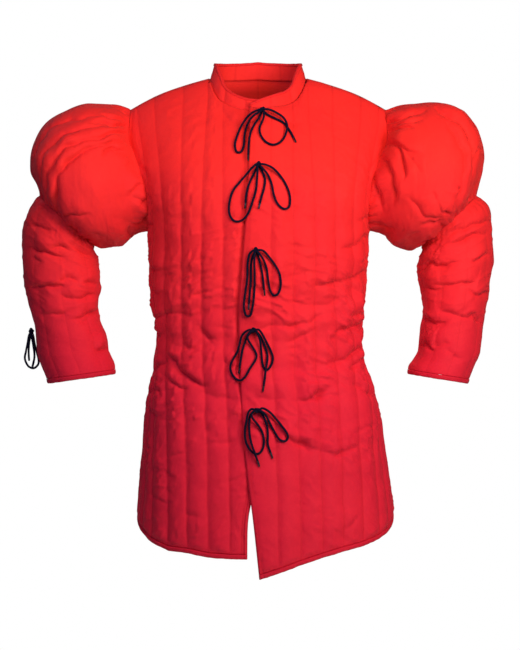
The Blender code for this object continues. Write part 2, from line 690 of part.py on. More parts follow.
def faces_of(strip, lift=None, flat_under=None):
    """Inner and outer points of a strip: lift raises the whole wall, flat_under thins its padding."""
    form, normals, padding, rounds = strip
    raised = np.zeros_like(padding) if lift is None else lift(rounds)
    if flat_under is not None:
        padding = np.where(flat_under(rounds), WALL_AT_STITCH, padding)
    inner = form + normals * raised[..., None]
    return inner, form + normals * (raised + padding)[..., None]


def lap_lift(rounds):
    return LAP_LIFT * ease((0.066 - rounds) / 0.040)


left_inner, left_outer = faces_of(left, lift=lap_lift)
right_inner, right_outer = faces_of(right, flat_under=lambda rounds: rounds > -0.040)
back_left_inner, back_left_outer = faces_of(back_left)
back_right_inner, back_right_outer = faces_of(back_right)


def ring_ends(row, side):
    """Outer and inner ends of a ring as points, for the left arm (1) or the right one (-1)."""
    lean = ARM_LEAN * float(ease((-0.30 - row.in_height) / 0.10)) if side > 0 else 0.0
    outer = np.array((row.out_across, row.behind, row.out_height))
    inner = np.array((row.in_across + lean, row.behind, row.in_height))
    return outer, inner


def ring_points(row, side, turns):
    """Points of a ring: a turn of 0 is its outer end, and a quarter turn is its front."""
    outer, inner = ring_ends(row, side)
    middle, half = (outer + inner) / 2, (outer - inner) / 2
    reach = np.where(np.sin(turns) > 0, row.front, row.back)
    points = middle + half * np.cos(turns)[:, None]
    points[:, 1] -= reach * np.sin(turns)
    return points * (side, 1, 1)


ARMHOLE_TIMES = 4  # outer points of the puff for each row of the armhole's edge


def armhole(front, behind):
    """The armhole's edge from the shoulder tip, down the front, round the armpit and up the back."""
    front, behind = front[:UPPER, -1].copy(), behind[:UPPER, -1].copy()
    for end in (0, -1):
        front[end, 1] = behind[end, 1] = 0.0
    return np.concatenate([front, behind[::-1][1:]])


def mitre_armhole(side, front_pair, back_pair):
    """Turn the armhole's rim to halfway between the panels and the puff, and leave a gap for the seam.

    The edge and the turned rim that the puff starts from are returned.
    """
    edge, rim = (armhole(f, b) for f, b in zip(front_pair, back_pair))
    normal = unit(rim - edge)
    turns = np.arange(len(edge)) / (len(edge) - 1) * 2 * math.pi
    leaving = unit(ring_points(PUFF[1], side, turns) - edge)
    closed = np.concatenate([edge[-2:-1], edge, edge[1:2]])
    toward_hole = unit(np.cross(np.gradient(closed, axis=0)[1:-1], normal))
    toward_hole *= np.sign(np.sum(toward_hole * (edge[:-1].mean(axis=0) - edge), axis=1))[:, None]
    mitred = edge + unit(1.6 * normal + leaving - toward_hole) * np.linalg.norm(rim - edge, axis=1)[:, None]
    for grid_pair, points in ((0, edge), (1, mitred)):
        kept = points - toward_hole * ARMHOLE_GAP
        front_pair[grid_pair][:UPPER, -1] = kept[:UPPER]
        back_pair[grid_pair][:UPPER, -1] = kept[UPPER - 1 :][::-1]
    return edge, mitred


LEFT_ARMHOLE = mitre_armhole(1, (left_inner, left_outer), (back_left_inner, back_left_outer))
RIGHT_ARMHOLE = mitre_armhole(-1, (right_inner, right_outer), (back_right_inner, back_right_outer))


def front_panel(name, inner, outer):
    inner, outer = apart(inner, False), apart(outer, False)
    return wall(name, [(inner[:, ::FRONT_FINER], outer, inner[0])], RED)


front_left = front_panel("front_left", left_inner, left_outer)
front_right = front_panel("front_right", right_inner, right_outer)

VENT_FROM = UPPER + 8  # the row at which the slit of the centre back opens


def opened(grid, side):
    """The centre back column moved aside below the top of the vent."""
    moved = grid.copy()
    rows = np.arange(len(grid))
    moved[:, 0, 0] += side * 0.006 * ease((rows - VENT_FROM) / (len(grid) - 1 - VENT_FROM))
    moved[:, 0, 0] += np.where(rows > VENT_FROM, side * SEAM_GAP, 0.0)
    return moved


def back_half(inner, outer, side):
    return [apart(opened(grid, side), True) for grid in (inner, outer)]


half_left = back_half(back_left_inner, back_left_outer, 1)
half_right = back_half(back_right_inner, back_right_outer, -1)
back = wall(
    "back",
    [
        (half_right[0][:, ::-BACK_FINER], half_right[1][:, ::-1], half_right[0][0, ::-1]),
        (half_left[0][:, ::BACK_FINER], half_left[1], half_left[0][0]),
    ],
    RED,
    joins=[(0, 1, VENT_FROM + 1)],
)

# ------------------------------------------------------------------ the collar


def neckline(grid, first, last):
    return grid[0, first : last + 1]


def neck_loop(left_grid, right_grid, back_left_grid, back_right_grid):
    """The panels' upper edges from the right front's free edge, round the back, to the left's."""
    return np.concatenate(
        [
            neckline(right_grid, 0, 3 * FRONT_FINER),
            neckline(back_right_grid, 0, 2 * BACK_FINER - 1)[::-1],
            neckline(back_left_grid, 1, 2 * BACK_FINER),
            neckline(left_grid, 0, 3 * FRONT_FINER - 1)[::-1],
        ]
    )


# Height of the collar and how far its top leans in, at shares of the way from a front end to the
# centre back.
Rise = namedtuple("Rise", "share height lean")
COLLAR = (
    Rise(0.00, 0.0165, 0.10),
    Rise(0.15, 0.0185, 0.14),
    Rise(0.28, 0.0235, 0.22),
    Rise(0.40, 0.0300, 0.30),
    Rise(0.52, 0.0270, 0.34),
    Rise(0.70, 0.0270, 0.22),
    Rise(1.00, 0.0275, 0.10),
)
COLLAR_ROWS = (0.0, 0.12, 0.40, 0.70, 1.0)

neck_inner = neck_loop(left_inner, right_inner, back_left_inner, back_right_inner)
neck_outer = neck_loop(left_outer, right_outer, back_left_outer, back_right_outer)


def collar_grids():
    """The collar stands just inside the neckline's rim, with its foot above the panels' inner edge."""
    length = np.concatenate([[0.0], np.cumsum(np.linalg.norm(np.diff(neck_inner, axis=0), axis=1))])
    share = 1 - np.abs(2 * length / length[-1] - 1)
    height, lean = (smooth(share, column(COLLAR, "share"), column(COLLAR, k)) for k in ("height", "lean"))
    along = np.gradient(neck_inner, axis=0)
    out = unit(np.stack([-along[:, 1], along[:, 0], np.zeros(len(along))], axis=1))
    out *= np.sign(np.sum(out * (neck_inner - (0.0, -0.01, 0.0)) * (1, 1, 0), axis=1))[:, None]
    for _ in range(4):
        out[1:-1] = unit(out[:-2] + 2 * out[1:-1] + out[2:])
    foot = neck_inner - out * 3 * SEAM_GAP + (0.0, 0.0, COLLAR_FOOT)
    rise = unit(np.array((0.0, 0.0, 1.0)) - out * lean[:, None])
    out = unit(out + rise * lean[:, None])
    stitched = np.where(np.arange(len(foot)) % 3 == 0, 0.0, 0.0010)[:, None]
    inner, outer = [], []
    for row in COLLAR_ROWS:
        face = foot + rise * (height * row)[:, None]
        inner.append(face - out * COLLAR_WALL)
        outer.append(face + out * (stitched if 0.2 < row < 1 else 0.0))
    return np.array(inner), np.array(outer), rise


collar_inner, collar_outer, collar_rise = collar_grids()
collar = wall("collar", [(collar_inner, collar_outer)], RED)
collar_binding = binding(
    "collar_binding", collar_inner[-1], collar_outer[-1], collar_rise, 0.0045, 0.0062, TAPE, gap=0.0012
)

# ------------------------------------------------------------------ the hem's bindings


def hem_binding(name, inner, outer):
    away = unit(inner[-1] - inner[-2])
    return binding(name, inner[-1], outer[-1], away, BINDING_HEIGHT, BINDING_THICK, TAPE)


for name, inner, outer, is_back in (
    ("hem_binding_left", left_inner, left_outer, False),
    ("hem_binding_right", right_inner, right_outer, False),
    ("hem_binding_back_left", half_left[0], half_left[1], True),
    ("hem_binding_back_right", half_right[0], half_right[1], True),
):
    finer = BACK_FINER if is_back else FRONT_FINER
    inner, outer = (grid[:, ::finer].copy() for grid in (inner, outer))
    for grid in (inner, outer):
        grid[-2:, -1] += unit(grid[-2:, -2] - grid[-2:, -1]) * 0.001
    hem_binding(name, inner, outer)


# ------------------------------------------------------------------ the sleeves


def grid_normals(grid, side):
    """Outward unit normals of rings of points that start at the outer side and go round by the front."""
    padded = np.concatenate([grid[:, -2:-1], grid, grid[:, 1:2]], axis=1)
    normals = np.cross(np.gradient(padded, axis=1)[:, 1:-1], np.gradient(grid, axis=0))
    return unit(normals) * side


def subdivided(points, times):
    fine = np.arange((len(points) - 1) * times + 1) / times
    return np.stack([np.interp(fine, range(len(points)), points[:, k]) for k in range(3)], axis=1)


def plane_of(row, side):
    """The direction down the arm, square to a ring."""
    outer, inner = ring_ends(row, side)
    half = unit(outer - inner)
    return np.array((half[2] * side, 0.0, -half[0]))


def flat_normals(ring, plane):
    """Outward normals of a flat closed ring that lie in its plane."""
    closed = np.concatenate([ring[-2:-1], ring, ring[1:2]])
    normals = unit(np.cross(np.gradient(closed, axis=0)[1:-1], plane))
    return normals * np.sign(np.sum(normals * (ring - ring[:-1].mean(axis=0)), axis=1))[:, None]


def puff_grids(side, edge_inner, edge_outer):
    times = ARMHOLE_TIMES
    count = (len(edge_inner) - 1) * times
    turns = np.arange(count + 1) / count * 2 * math.pi
    rings = [subdivided(edge_inner, times)]
    wave = np.cos(PLEATS * turns)
    for row, pleat in zip(PUFF[1:], PLEAT_DEPTHS):
        ring = ring_points(row, side, turns)
        outer, inner = ring_ends(row, side)
        centre = (outer + inner) / 2 * (side, 1, 1)
        ring += unit(ring - centre) * (pleat * (wave - 0.6))[:, None]
        rings.append(ring)
    form = np.array(rings)
    normals = grid_normals(form, side)
    outer_face = form + normals * PUFF_WALL
    outer_face[0] = subdivided(edge_outer, times)
    outer_face[-1] = form[-1] + flat_normals(form[-1], plane_of(PUFF[-1], side)) * PUFF_WALL
    return form, outer_face


def sleeve_grids(side):
    """The lower sleeve, from the puff's lower edge to the cuff, with channels along it."""
    count = SLEEVE_CHANNELS * 3
    share = np.arange(count + 1) / count
    rows = [PUFF[-1], *SLEEVE]
    slit_top = SLEEVE[-1].out_height + SLIT
    form, first_open = [], 0
    for k, row in enumerate(rows):
        gape = SLIT_GAPE / 0.06 * float(ease((slit_top - row.out_height) / (SLIT * 0.8)))
        if gape == 0:
            first_open = k
        turns = SLIT_TURN[side] + gape + share * (2 * math.pi - 2 * gape)
        form.append(ring_points(row, side, turns))
    form = np.array(form)
    form[0] += plane_of(PUFF[-1], side) * SEAM_GAP * 3
    normals = grid_normals(form, side)
    normals[0] = flat_normals(form[0], plane_of(PUFF[-1], side))
    normals[-1] = flat_normals(form[-1], plane_of(SLEEVE[-1], side))
    crown = np.array([0.0, 0.87, 0.87])[np.arange(count + 1) % 3]
    thick = SLEEVE_WALL_AT_STITCH + (SLEEVE_WALL_AT_CROWN - SLEEVE_WALL_AT_STITCH) * crown
    outer = form + normals * thick[:, None]
    outer[0] = form[0] + normals[0] * PUFF_WALL
    return form, outer, first_open


for label, side, (edge_inner, edge_outer) in (("left", 1, LEFT_ARMHOLE), ("right", -1, RIGHT_ARMHOLE)):
    puff_inner, puff_outer = puff_grids(side, edge_inner, edge_outer)
    wall(f"puff_{label}", [(puff_inner[:, ::2], puff_outer)], RED, joins=[(0, 0, len(puff_inner))])
    sleeve_inner, sleeve_outer, first_open = sleeve_grids(side)
    wall(f"sleeve_{label}", [(sleeve_inner[:, ::3], sleeve_outer)], RED, joins=[(0, 0, first_open + 1)])
    cuff_inner, cuff_outer = sleeve_inner[-1], sleeve_outer[-1]
    cuff_away = np.tile(plane_of(SLEEVE[-1], side), (len(cuff_inner), 1))
    name = f"cuff_binding_{label}"
    binding(name, cuff_inner, cuff_outer, cuff_away, BINDING_HEIGHT, CUFF_BINDING_THICK, TAPE)


# ------------------------------------------------------------------ the ties


def through_points(points, step):
    """A smooth curve through the points, read off at about the given step."""
    ends = np.vstack([2 * points[0] - points[1], points, 2 * points[-1] - points[-2]])
    fine = []
    for a, b, c, d in zip(ends, ends[1:], ends[2:], ends[3:]):
        t = np.linspace(0, 1, 12, endpoint=False)[:, None]
        fine.append(b + 0.5 * t * (c - a + t * (2 * a - 5 * b + 4 * c - d + t * (3 * (b - c) + d - a))))
    fine = np.vstack([*fine, points[-1:]])
    length = np.concatenate([[0.0], np.cumsum(np.linalg.norm(np.diff(fine, axis=0), axis=1))])
    at = np.linspace(0, length[-1], max(3, int(round(length[-1] / step)) + 1))
    return np.stack([np.interp(at, length, fine[:, k]) for k in range(3)], axis=1)


def front_surface():
    """A function that gives how far forward the fronts reach round a place."""
    trees = []
    for panel in (front_left, front_right):
        builder = bmesh.new()
        builder.from_mesh(panel.data)
        trees.append(BVHTree.FromBMesh(builder))
        builder.free()

    def reach(x, z):
        hits = []
        for dx, dz in ((0, 0), (LACE * 0.6, 0), (-LACE * 0.6, 0), (0, LACE * 0.6), (0, -LACE * 0.6)):
            for tree in trees:
                place = tree.ray_cast((x + dx, -1.0, z + dz), (0, 1, 0))[0]
                if place:
                    hits.append(place[1])
        return min(hits)

    return reach


def lace(name, points):
    curve = bpy.data.curves.new(name, "CURVE")
    curve.dimensions = "3D"
    curve.bevel_depth = LACE / 2
    curve.bevel_resolution = 2
    curve.use_fill_caps = True
    curve.materials.append(CORD)
    spline = curve.splines.new("POLY")
    spline.points.add(len(points) - 1)
    for place, point in zip(spline.points, points):
        place.co = (*point, 1.0)
    made = bpy.data.objects.new(name, curve)
    bpy.context.scene.collection.objects.link(made)
    return made


def knot(name, middle):
    builder = bmesh.new()
    bmesh.ops.create_uvsphere(builder, u_segments=8, v_segments=6, radius=KNOT_RADIUS)
    bmesh.ops.translate(builder, verts=builder.verts, vec=middle)
    return add_object(name, builder, CORD)


def tip(name, start, direction):
    """A tapered metal tip that goes on from a lace's end."""
    builder = bmesh.new()
    bmesh.ops.create_cone(
        builder, cap_ends=True, segments=8, radius1=0.0018, radius2=0.0013, depth=TIP_LENGTH,
        matrix=Matrix.Translation(start + direction * (3 * SEAM_GAP + TIP_LENGTH / 2))
        @ Vector((0, 0, 1)).rotation_difference(direction).to_matrix().to_4x4(),
    )
    return add_object(name, builder, TIP)


def with_knot(points, middle, part, nearer=1.0):
    """The route's points with the places where it leaves its knot and comes back to it."""
    start = (KNOT_RADIUS + KNOT_REACH) * nearer
    places = [middle + np.array(way) * (1, -1, 1) * start for way in LEAVING[part]]
    return np.vstack([places[0], points, *places[1:]])


reach = front_surface()


def laid(across, down, lift):
    x = LAY_MIDDLE[0] + (across - 260) * LAY
    z = LAY_MIDDLE[1] - (down - 325) * LAY
    lean = (reach(x, z + LACE) - reach(x, z - LACE)) / (2 * LACE)
    return np.array((x, reach(x, z) - lift / 1000 * math.hypot(1, lean), z))


def on_front(route, middle, part, nearer):
    """Points of a lace on the fronts, kept off the cloth and off the step of the lapped edge."""
    points = with_knot(np.array([laid(*row) for row in route]), middle, part, nearer)
    fine = through_points(points, 0.002)
    cloth = np.array([reach(x, z) for x, _, z in fine])
    padded = np.concatenate([[cloth[0]] * 3, cloth, [cloth[-1]] * 3])
    nearest = np.min([padded[k : k + len(cloth)] for k in range(7)], axis=0)
    fine[:, 1] = np.minimum(fine[:, 1], nearest - LACE / 2 - SEAM_GAP)
    return fine


def spaced(points, step):
    length = np.concatenate([[0.0], np.cumsum(np.linalg.norm(np.diff(points, axis=0), axis=1))])
    at = np.linspace(0, length[-1], max(4, int(round(length[-1] / step)) + 1))
    return np.stack([np.interp(at, length, points[:, k]) for k in range(3)], axis=1)


def tip_direction(points):
    """The way a lace ends, turned to lie along the cloth."""
    way = unit((points[-1] - points[-3]) * (1, 0, 1))
    over = [reach(*(points[-1] + way * length)[[0, 2]]) for length in np.linspace(0, TIP_LENGTH + 0.001, 5)]
    far = points[-1] + way * TIP_LENGTH
    far[1] = min(over) - LACE / 2 - SEAM_GAP
    return Vector(unit(far - points[-1]))


for number, place in KNOTS.items():
    middle = laid(*place)
    knot(f"tie_{number}_knot", middle)
    for part in ("loop_left", "loop_right", "end_left", "end_right"):
        route = ROUTES[number, part]
        points = spaced(on_front(route, middle, part, NEARER.get((number, part), 1.0)), LACE_STEP)
        lace(f"tie_{number}_{part}", points)
        if part.startswith("end"):
            tip(f"tie_{number}_tip_{part[4:]}", Vector(points[-1]), tip_direction(points))

wrist_middle = np.array(WRIST_KNOT) / 1000
knot("wrist_knot", wrist_middle)
for part, route in WRIST_ROUTES.items():
    lace(f"wrist_{part}", through_points(with_knot(np.array(route) / 1000, wrist_middle, part), LACE_STEP))
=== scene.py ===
# %% [markdown]
# # A quilted red gambeson, as it looks when it is worn
# A gambeson is a padded jacket. Two layers of cotton with batting between them are stitched together in long
# channels, so each panel is thin at its stitch lines and swells between them. The solids that this scene is built
# around have the same cut, with few points. Here each piece gets the same form again with many points, then its
# padding, creases, gathers, seams and stitches. A piece follows its own cut, so the patterns follow the cloth.

import json
import math
from collections import namedtuple

import bmesh
import bpy
import numpy as np
from mathutils import Matrix, Vector
from mathutils.bvhtree import BVHTree
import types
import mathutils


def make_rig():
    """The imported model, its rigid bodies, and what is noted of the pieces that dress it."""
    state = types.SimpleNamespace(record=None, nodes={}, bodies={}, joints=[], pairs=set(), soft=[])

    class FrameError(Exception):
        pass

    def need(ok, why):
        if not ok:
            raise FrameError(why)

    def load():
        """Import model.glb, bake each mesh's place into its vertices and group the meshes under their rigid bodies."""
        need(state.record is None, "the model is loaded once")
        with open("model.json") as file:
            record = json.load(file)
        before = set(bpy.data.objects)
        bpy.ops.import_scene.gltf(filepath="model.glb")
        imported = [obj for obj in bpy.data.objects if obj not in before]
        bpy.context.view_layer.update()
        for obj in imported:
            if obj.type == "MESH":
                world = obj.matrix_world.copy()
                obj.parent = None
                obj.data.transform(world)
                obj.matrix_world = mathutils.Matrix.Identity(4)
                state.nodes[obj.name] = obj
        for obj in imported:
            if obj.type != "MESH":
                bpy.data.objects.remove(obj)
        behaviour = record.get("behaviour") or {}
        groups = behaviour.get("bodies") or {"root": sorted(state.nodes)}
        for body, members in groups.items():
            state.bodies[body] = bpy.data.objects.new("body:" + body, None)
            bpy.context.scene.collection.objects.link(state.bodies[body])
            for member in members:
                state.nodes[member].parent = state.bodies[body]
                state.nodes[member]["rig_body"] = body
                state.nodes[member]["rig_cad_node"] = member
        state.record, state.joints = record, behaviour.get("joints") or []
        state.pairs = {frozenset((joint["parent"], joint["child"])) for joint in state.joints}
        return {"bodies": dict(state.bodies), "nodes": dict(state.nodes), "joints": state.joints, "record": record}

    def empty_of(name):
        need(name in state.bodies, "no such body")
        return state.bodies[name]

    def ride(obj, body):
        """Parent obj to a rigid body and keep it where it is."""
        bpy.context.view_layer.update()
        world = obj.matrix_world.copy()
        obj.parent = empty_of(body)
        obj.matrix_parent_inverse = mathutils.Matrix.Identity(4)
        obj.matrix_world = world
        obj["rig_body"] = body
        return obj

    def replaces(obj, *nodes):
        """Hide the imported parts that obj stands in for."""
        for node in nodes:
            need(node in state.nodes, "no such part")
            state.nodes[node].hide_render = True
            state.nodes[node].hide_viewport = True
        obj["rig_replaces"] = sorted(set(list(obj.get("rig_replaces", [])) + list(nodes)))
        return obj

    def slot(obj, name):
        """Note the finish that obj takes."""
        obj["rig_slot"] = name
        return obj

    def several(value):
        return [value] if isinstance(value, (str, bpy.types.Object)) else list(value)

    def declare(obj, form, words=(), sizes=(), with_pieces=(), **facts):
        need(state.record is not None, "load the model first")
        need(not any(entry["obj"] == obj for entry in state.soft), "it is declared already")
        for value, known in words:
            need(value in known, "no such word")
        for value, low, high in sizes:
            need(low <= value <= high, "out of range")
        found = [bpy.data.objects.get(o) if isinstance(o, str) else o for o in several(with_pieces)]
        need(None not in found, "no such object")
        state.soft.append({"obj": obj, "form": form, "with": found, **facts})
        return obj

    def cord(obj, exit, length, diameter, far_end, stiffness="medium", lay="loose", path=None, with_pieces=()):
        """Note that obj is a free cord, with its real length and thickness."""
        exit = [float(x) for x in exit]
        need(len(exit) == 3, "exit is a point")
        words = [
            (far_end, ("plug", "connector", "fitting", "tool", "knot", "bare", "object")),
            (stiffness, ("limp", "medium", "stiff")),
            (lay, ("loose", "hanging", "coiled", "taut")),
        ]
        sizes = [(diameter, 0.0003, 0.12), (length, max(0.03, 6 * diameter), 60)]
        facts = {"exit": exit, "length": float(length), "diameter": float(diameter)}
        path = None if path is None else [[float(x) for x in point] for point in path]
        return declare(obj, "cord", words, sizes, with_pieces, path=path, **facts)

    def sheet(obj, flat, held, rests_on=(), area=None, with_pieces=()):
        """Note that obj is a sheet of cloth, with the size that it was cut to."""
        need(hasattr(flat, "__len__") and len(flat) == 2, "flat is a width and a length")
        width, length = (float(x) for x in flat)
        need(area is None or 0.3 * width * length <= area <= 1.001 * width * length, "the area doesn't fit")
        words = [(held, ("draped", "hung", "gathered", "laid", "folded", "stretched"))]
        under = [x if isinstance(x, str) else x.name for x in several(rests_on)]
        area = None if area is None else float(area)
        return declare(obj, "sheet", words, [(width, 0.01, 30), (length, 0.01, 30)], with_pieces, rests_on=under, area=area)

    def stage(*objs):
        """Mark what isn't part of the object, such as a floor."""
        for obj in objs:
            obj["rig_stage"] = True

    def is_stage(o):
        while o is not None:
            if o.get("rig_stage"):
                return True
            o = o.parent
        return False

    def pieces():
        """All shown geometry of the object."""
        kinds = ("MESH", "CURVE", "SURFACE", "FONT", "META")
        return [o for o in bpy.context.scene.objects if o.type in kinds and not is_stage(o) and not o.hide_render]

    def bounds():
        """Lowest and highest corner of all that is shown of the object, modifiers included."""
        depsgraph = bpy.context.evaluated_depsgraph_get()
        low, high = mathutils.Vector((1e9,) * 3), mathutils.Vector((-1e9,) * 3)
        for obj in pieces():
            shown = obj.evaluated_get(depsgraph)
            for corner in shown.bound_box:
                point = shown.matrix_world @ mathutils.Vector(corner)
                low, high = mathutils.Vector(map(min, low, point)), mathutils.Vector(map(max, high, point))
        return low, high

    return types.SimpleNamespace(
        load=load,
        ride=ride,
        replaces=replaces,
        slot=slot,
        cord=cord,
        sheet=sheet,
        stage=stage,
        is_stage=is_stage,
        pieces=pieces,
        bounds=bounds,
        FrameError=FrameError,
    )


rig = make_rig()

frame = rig.load()
solids_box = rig.bounds()
print("solids:", len(frame["nodes"]), "from", [round(v, 3) for v in solids_box[0]])

# %% [markdown]
# ## The camera
# A long lens from far away, level with the middle of the garment, keeps the sleeves as large as the front. The
# frame is 520 wide and 650 high, and the sensor's width stands for the long side. At REFERENCE_Y, a little in
# front of the side seams, the frame is FRAME_HEIGHT high. Lengths are in metres where nothing else is said.

# %% Set the camera
REFERENCE_Y = -0.050
FRAME_HEIGHT = 1.159
SENSOR = 36.0
CAMERA_PLACE = Vector((0.0036, -4.550, -0.4428))

camera_data = bpy.data.cameras.new("front camera")
camera = bpy.data.objects.new("front camera", camera_data)
bpy.context.scene.collection.objects.link(camera)
camera.location = CAMERA_PLACE
camera.rotation_euler = (math.pi / 2, 0.0, 0.0)
camera_data.sensor_width = SENSOR
camera_data.lens = SENSOR * (REFERENCE_Y - CAMERA_PLACE.y) / FRAME_HEIGHT
bpy.context.scene.camera = camera
print("lens:", round(camera_data.lens, 1), "mm")

# %% [markdown]
# ## Driving sizes
# These are the sizes of the cut: how wide a channel is, how thick the cloth is at a stitch line and between two of
# them, and how many points each channel gets. All are in metres.

# %% Driving sizes
CHANNEL = 0.0385  # from one stitch line to the next
FIRST_LINE = 0.0225  # from the centre front to the first stitch line
FULL_CHANNELS = 5  # channels of full width on each half of a front or back
SIDE_CHANNELS = 3  # channels beside the side seam, which take up the flare of the skirt
CUT_COLUMNS = 3  # columns to a channel at which the form is worked out
FINE = 15  # columns of points to a channel
ROW_STEP = 0.0026  # from one row of points to the next
INNER_EVERY = 4  # the inner face has one column for this many

WALL_AT_STITCH = 0.0045
WALL_AT_CROWN = 0.0080
WALL_AT_ARMHOLE = 0.0040
WALL_AT_TOP = 0.0046
WALL_AT_HEM = WALL_AT_STITCH * 1.08
SEAM_GAP = 0.0003
ARMHOLE_GAP = 0.0004
LAP_LIFT = 0.0078  # how far the left front is raised where it lies over the right one
LAP_REACH, LAP_FADE = 0.066, 0.040

SHOULDER_LEVEL = -0.03
ARMPIT = -0.270
HEM_LEVEL = -0.82
UPPER_LENGTH = 0.21  # along the cloth, from the shoulder seam to the armpit
LOWER_ROWS = 232
NECK_SIDE = 0.088
SQUARENESS = 2.3

# %% [markdown]
# ## The trunk's form
# A stack of rounded sections gives the inside of the garment. Between the rows, a cubic curve runs through the
# values. The shoulder slope then lets each section shrink towards the shoulder line, as a real shoulder does.

# %% Tables of the trunk


def table(columns, *rows):
    """Rows with named columns."""
    Row = namedtuple("Row", columns)
    return [Row(*row) for row in rows]


TRUNK = table(
    "height half_width front back sway",
    (0.030, 0.250, 0.118, 0.112, 0.000),
    (-0.058, 0.250, 0.128, 0.120, 0.000),
    (-0.110, 0.249, 0.134, 0.124, 0.000),
    (-0.150, 0.238, 0.138, 0.126, 0.000),
    (-0.200, 0.218, 0.142, 0.126, 0.000),
    (-0.270, 0.194, 0.142, 0.122, 0.001),
    (-0.310, 0.192, 0.140, 0.118, 0.001),
    (-0.400, 0.186, 0.131, 0.109, 0.000),
    (-0.454, 0.179, 0.126, 0.105, 0.002),
    (-0.508, 0.184, 0.129, 0.111, 0.003),
    (-0.580, 0.201, 0.138, 0.130, 0.007),
    (-0.652, 0.210, 0.147, 0.143, 0.010),
    (-0.724, 0.218, 0.154, 0.151, 0.012),
    (-0.789, 0.225, 0.159, 0.157, 0.0135),
    (-0.900, 0.230, 0.164, 0.162, 0.014),
)
SHOULDER_LINE = table(
    "across height",
    (0.000, 0.012), (0.050, 0.006), (0.088, -0.003), (0.130, -0.015), (0.175, -0.031),
    (0.205, -0.046), (0.240, -0.066),
)
SHOULDER_SLOPE = table(
    "drop front back",
    (0.000, 0.00, 0.00),
    (0.004, 0.13, 0.26),
    (0.010, 0.20, 0.44),
    (0.020, 0.28, 0.58),
    (0.040, 0.40, 0.70),
    (0.073, 0.56, 0.82),
    (0.110, 0.73, 0.91),
    (0.160, 0.91, 0.98),
    (0.210, 1.00, 1.00),
    (0.400, 1.00, 1.00),
)
ARMHOLE = table(
    "height across",
    (-0.060, 0.228), (-0.110, 0.230), (-0.150, 0.214), (-0.200, 0.199), (-0.250, 0.1935),
    (-0.270, 0.194),
)
LEFT_EDGE = table(
    "height across",
    (-0.060, -0.015), (-0.150, -0.016), (-0.250, -0.021), (-0.300, -0.025),
    (-0.445, -0.034), (-0.540, -0.031), (-0.640, -0.025), (-0.720, -0.017),
    (-0.770, -0.010), (-0.890, 0.003),
)
RIGHT_EDGE = table(
    "height across",
    (-0.060, 0.018), (-0.450, 0.018), (-0.640, 0.006), (-0.740, -0.009),
    (-0.780, -0.0165), (-0.850, -0.0185),
)
FRONT_NECKLINE = table(
    "across height",
    (0.000, -0.066), (0.030, -0.062), (0.055, -0.053), (0.075, -0.036), (0.088, -0.003),
)
BACK_NECKLINE_DROP = 0.010
FRONT_HEM = table(
    "girth left right",
    (-0.030, -0.880, -0.842),
    (0.000, -0.873, -0.842),
    (0.080, -0.846, -0.842),
    (0.130, -0.832, -0.834),
    (0.175, -0.823, -0.831),
    (0.205, -0.815, -0.823),
    (0.240, -0.804, -0.808),
    (0.280, -0.789, -0.792),
    (0.340, -0.770, -0.770),
)
BACK_HEM = -0.770
VENT_TOP = -0.505  # height at which the slit of the centre back opens
VENT_GAPE = 0.006  # how far each side of the slit hangs from the middle at the hem

UPPER_SHARES = (0.0, 0.07, 0.20, 0.42, 0.68, 0.86, 0.95, 1.0)  # stations down the armhole's edge
FRONT_LINE_TOPS = (0.0225, 0.061, 0.088, 0.132, 0.183, 0.216)  # where stitch lines reach the shoulder
BACK_LINE_TOPS = (0.0, 0.044, 0.088, 0.122, 0.156, 0.190)

# %% Small helpers for curves and noise


def column(table, name):
    return np.array([getattr(row, name) for row in table], float)


def smooth(at, stations, values):
    """A cubic curve through the values at rising stations, level at each hump and hollow."""
    at = np.clip(at, stations[0], stations[-1])
    steps = np.diff(stations)
    chords = np.diff(values) / steps
    slopes = np.concatenate([[chords[0]], (chords[1:] + chords[:-1]) / 2, [chords[-1]]])
    slopes[1:-1][chords[1:] * chords[:-1] <= 0] = 0.0
    i = np.clip(np.searchsorted(stations, at, side="right") - 1, 0, len(steps) - 1)
    t = (at - stations[i]) / steps[i]
    rise = values[i + 1] - values[i]
    lead = t * (1 - t) * ((1 - t) * slopes[i] - t * slopes[i + 1]) * steps[i]
    return values[i] + t * t * (3 - 2 * t) * rise + lead


def by_height(table, name, height):
    return smooth(height, column(table, "height")[::-1], column(table, name)[::-1])


def by_across(table, name, across):
    return smooth(np.abs(across), column(table, "across"), column(table, name))


def ease(value):
    """0 below 0, 1 above 1, and a soft S between."""
    value = np.clip(value, 0.0, 1.0)
    return value * value * (3 - 2 * value)


def unit(vectors):
    return vectors / np.maximum(np.linalg.norm(vectors, axis=-1, keepdims=True), 1e-12)


def passed(points):
    """How far along a line of points each one is."""
    return np.concatenate([[0.0], np.cumsum(np.linalg.norm(np.diff(points, axis=0), axis=1))])


def length_of(points):
    return float(np.linalg.norm(np.diff(points, axis=0), axis=1).sum())


def along_ring(ring):
    """The way round a closed ring at each of its points."""
    closed = np.concatenate([ring[-2:-1], ring, ring[1:2]])
    return np.gradient(closed, axis=0)[1:-1]


def softened(line):
    """The inner places of a line, each drawn halfway to its neighbours."""
    return (line[:-2] + 2 * line[1:-1] + line[2:]) / 4


def through_points(points, times):
    """A smooth curve through the points, with so many places from one to the next."""
    ends = np.vstack([2 * points[0] - points[1], points, 2 * points[-1] - points[-2]])
    line = []
    for a, b, c, d in zip(ends, ends[1:], ends[2:], ends[3:]):
        t = np.linspace(0, 1, times, endpoint=False)[:, None]
        line.append(b + 0.5 * t * (c - a + t * (2 * a - 5 * b + 4 * c - d + t * (3 * (b - c) + d - a))))
    return np.vstack([*line, points[-1:]])


GRAIN = np.random.default_rng(11).uniform(0.0, 2 * math.pi, (64, 64))


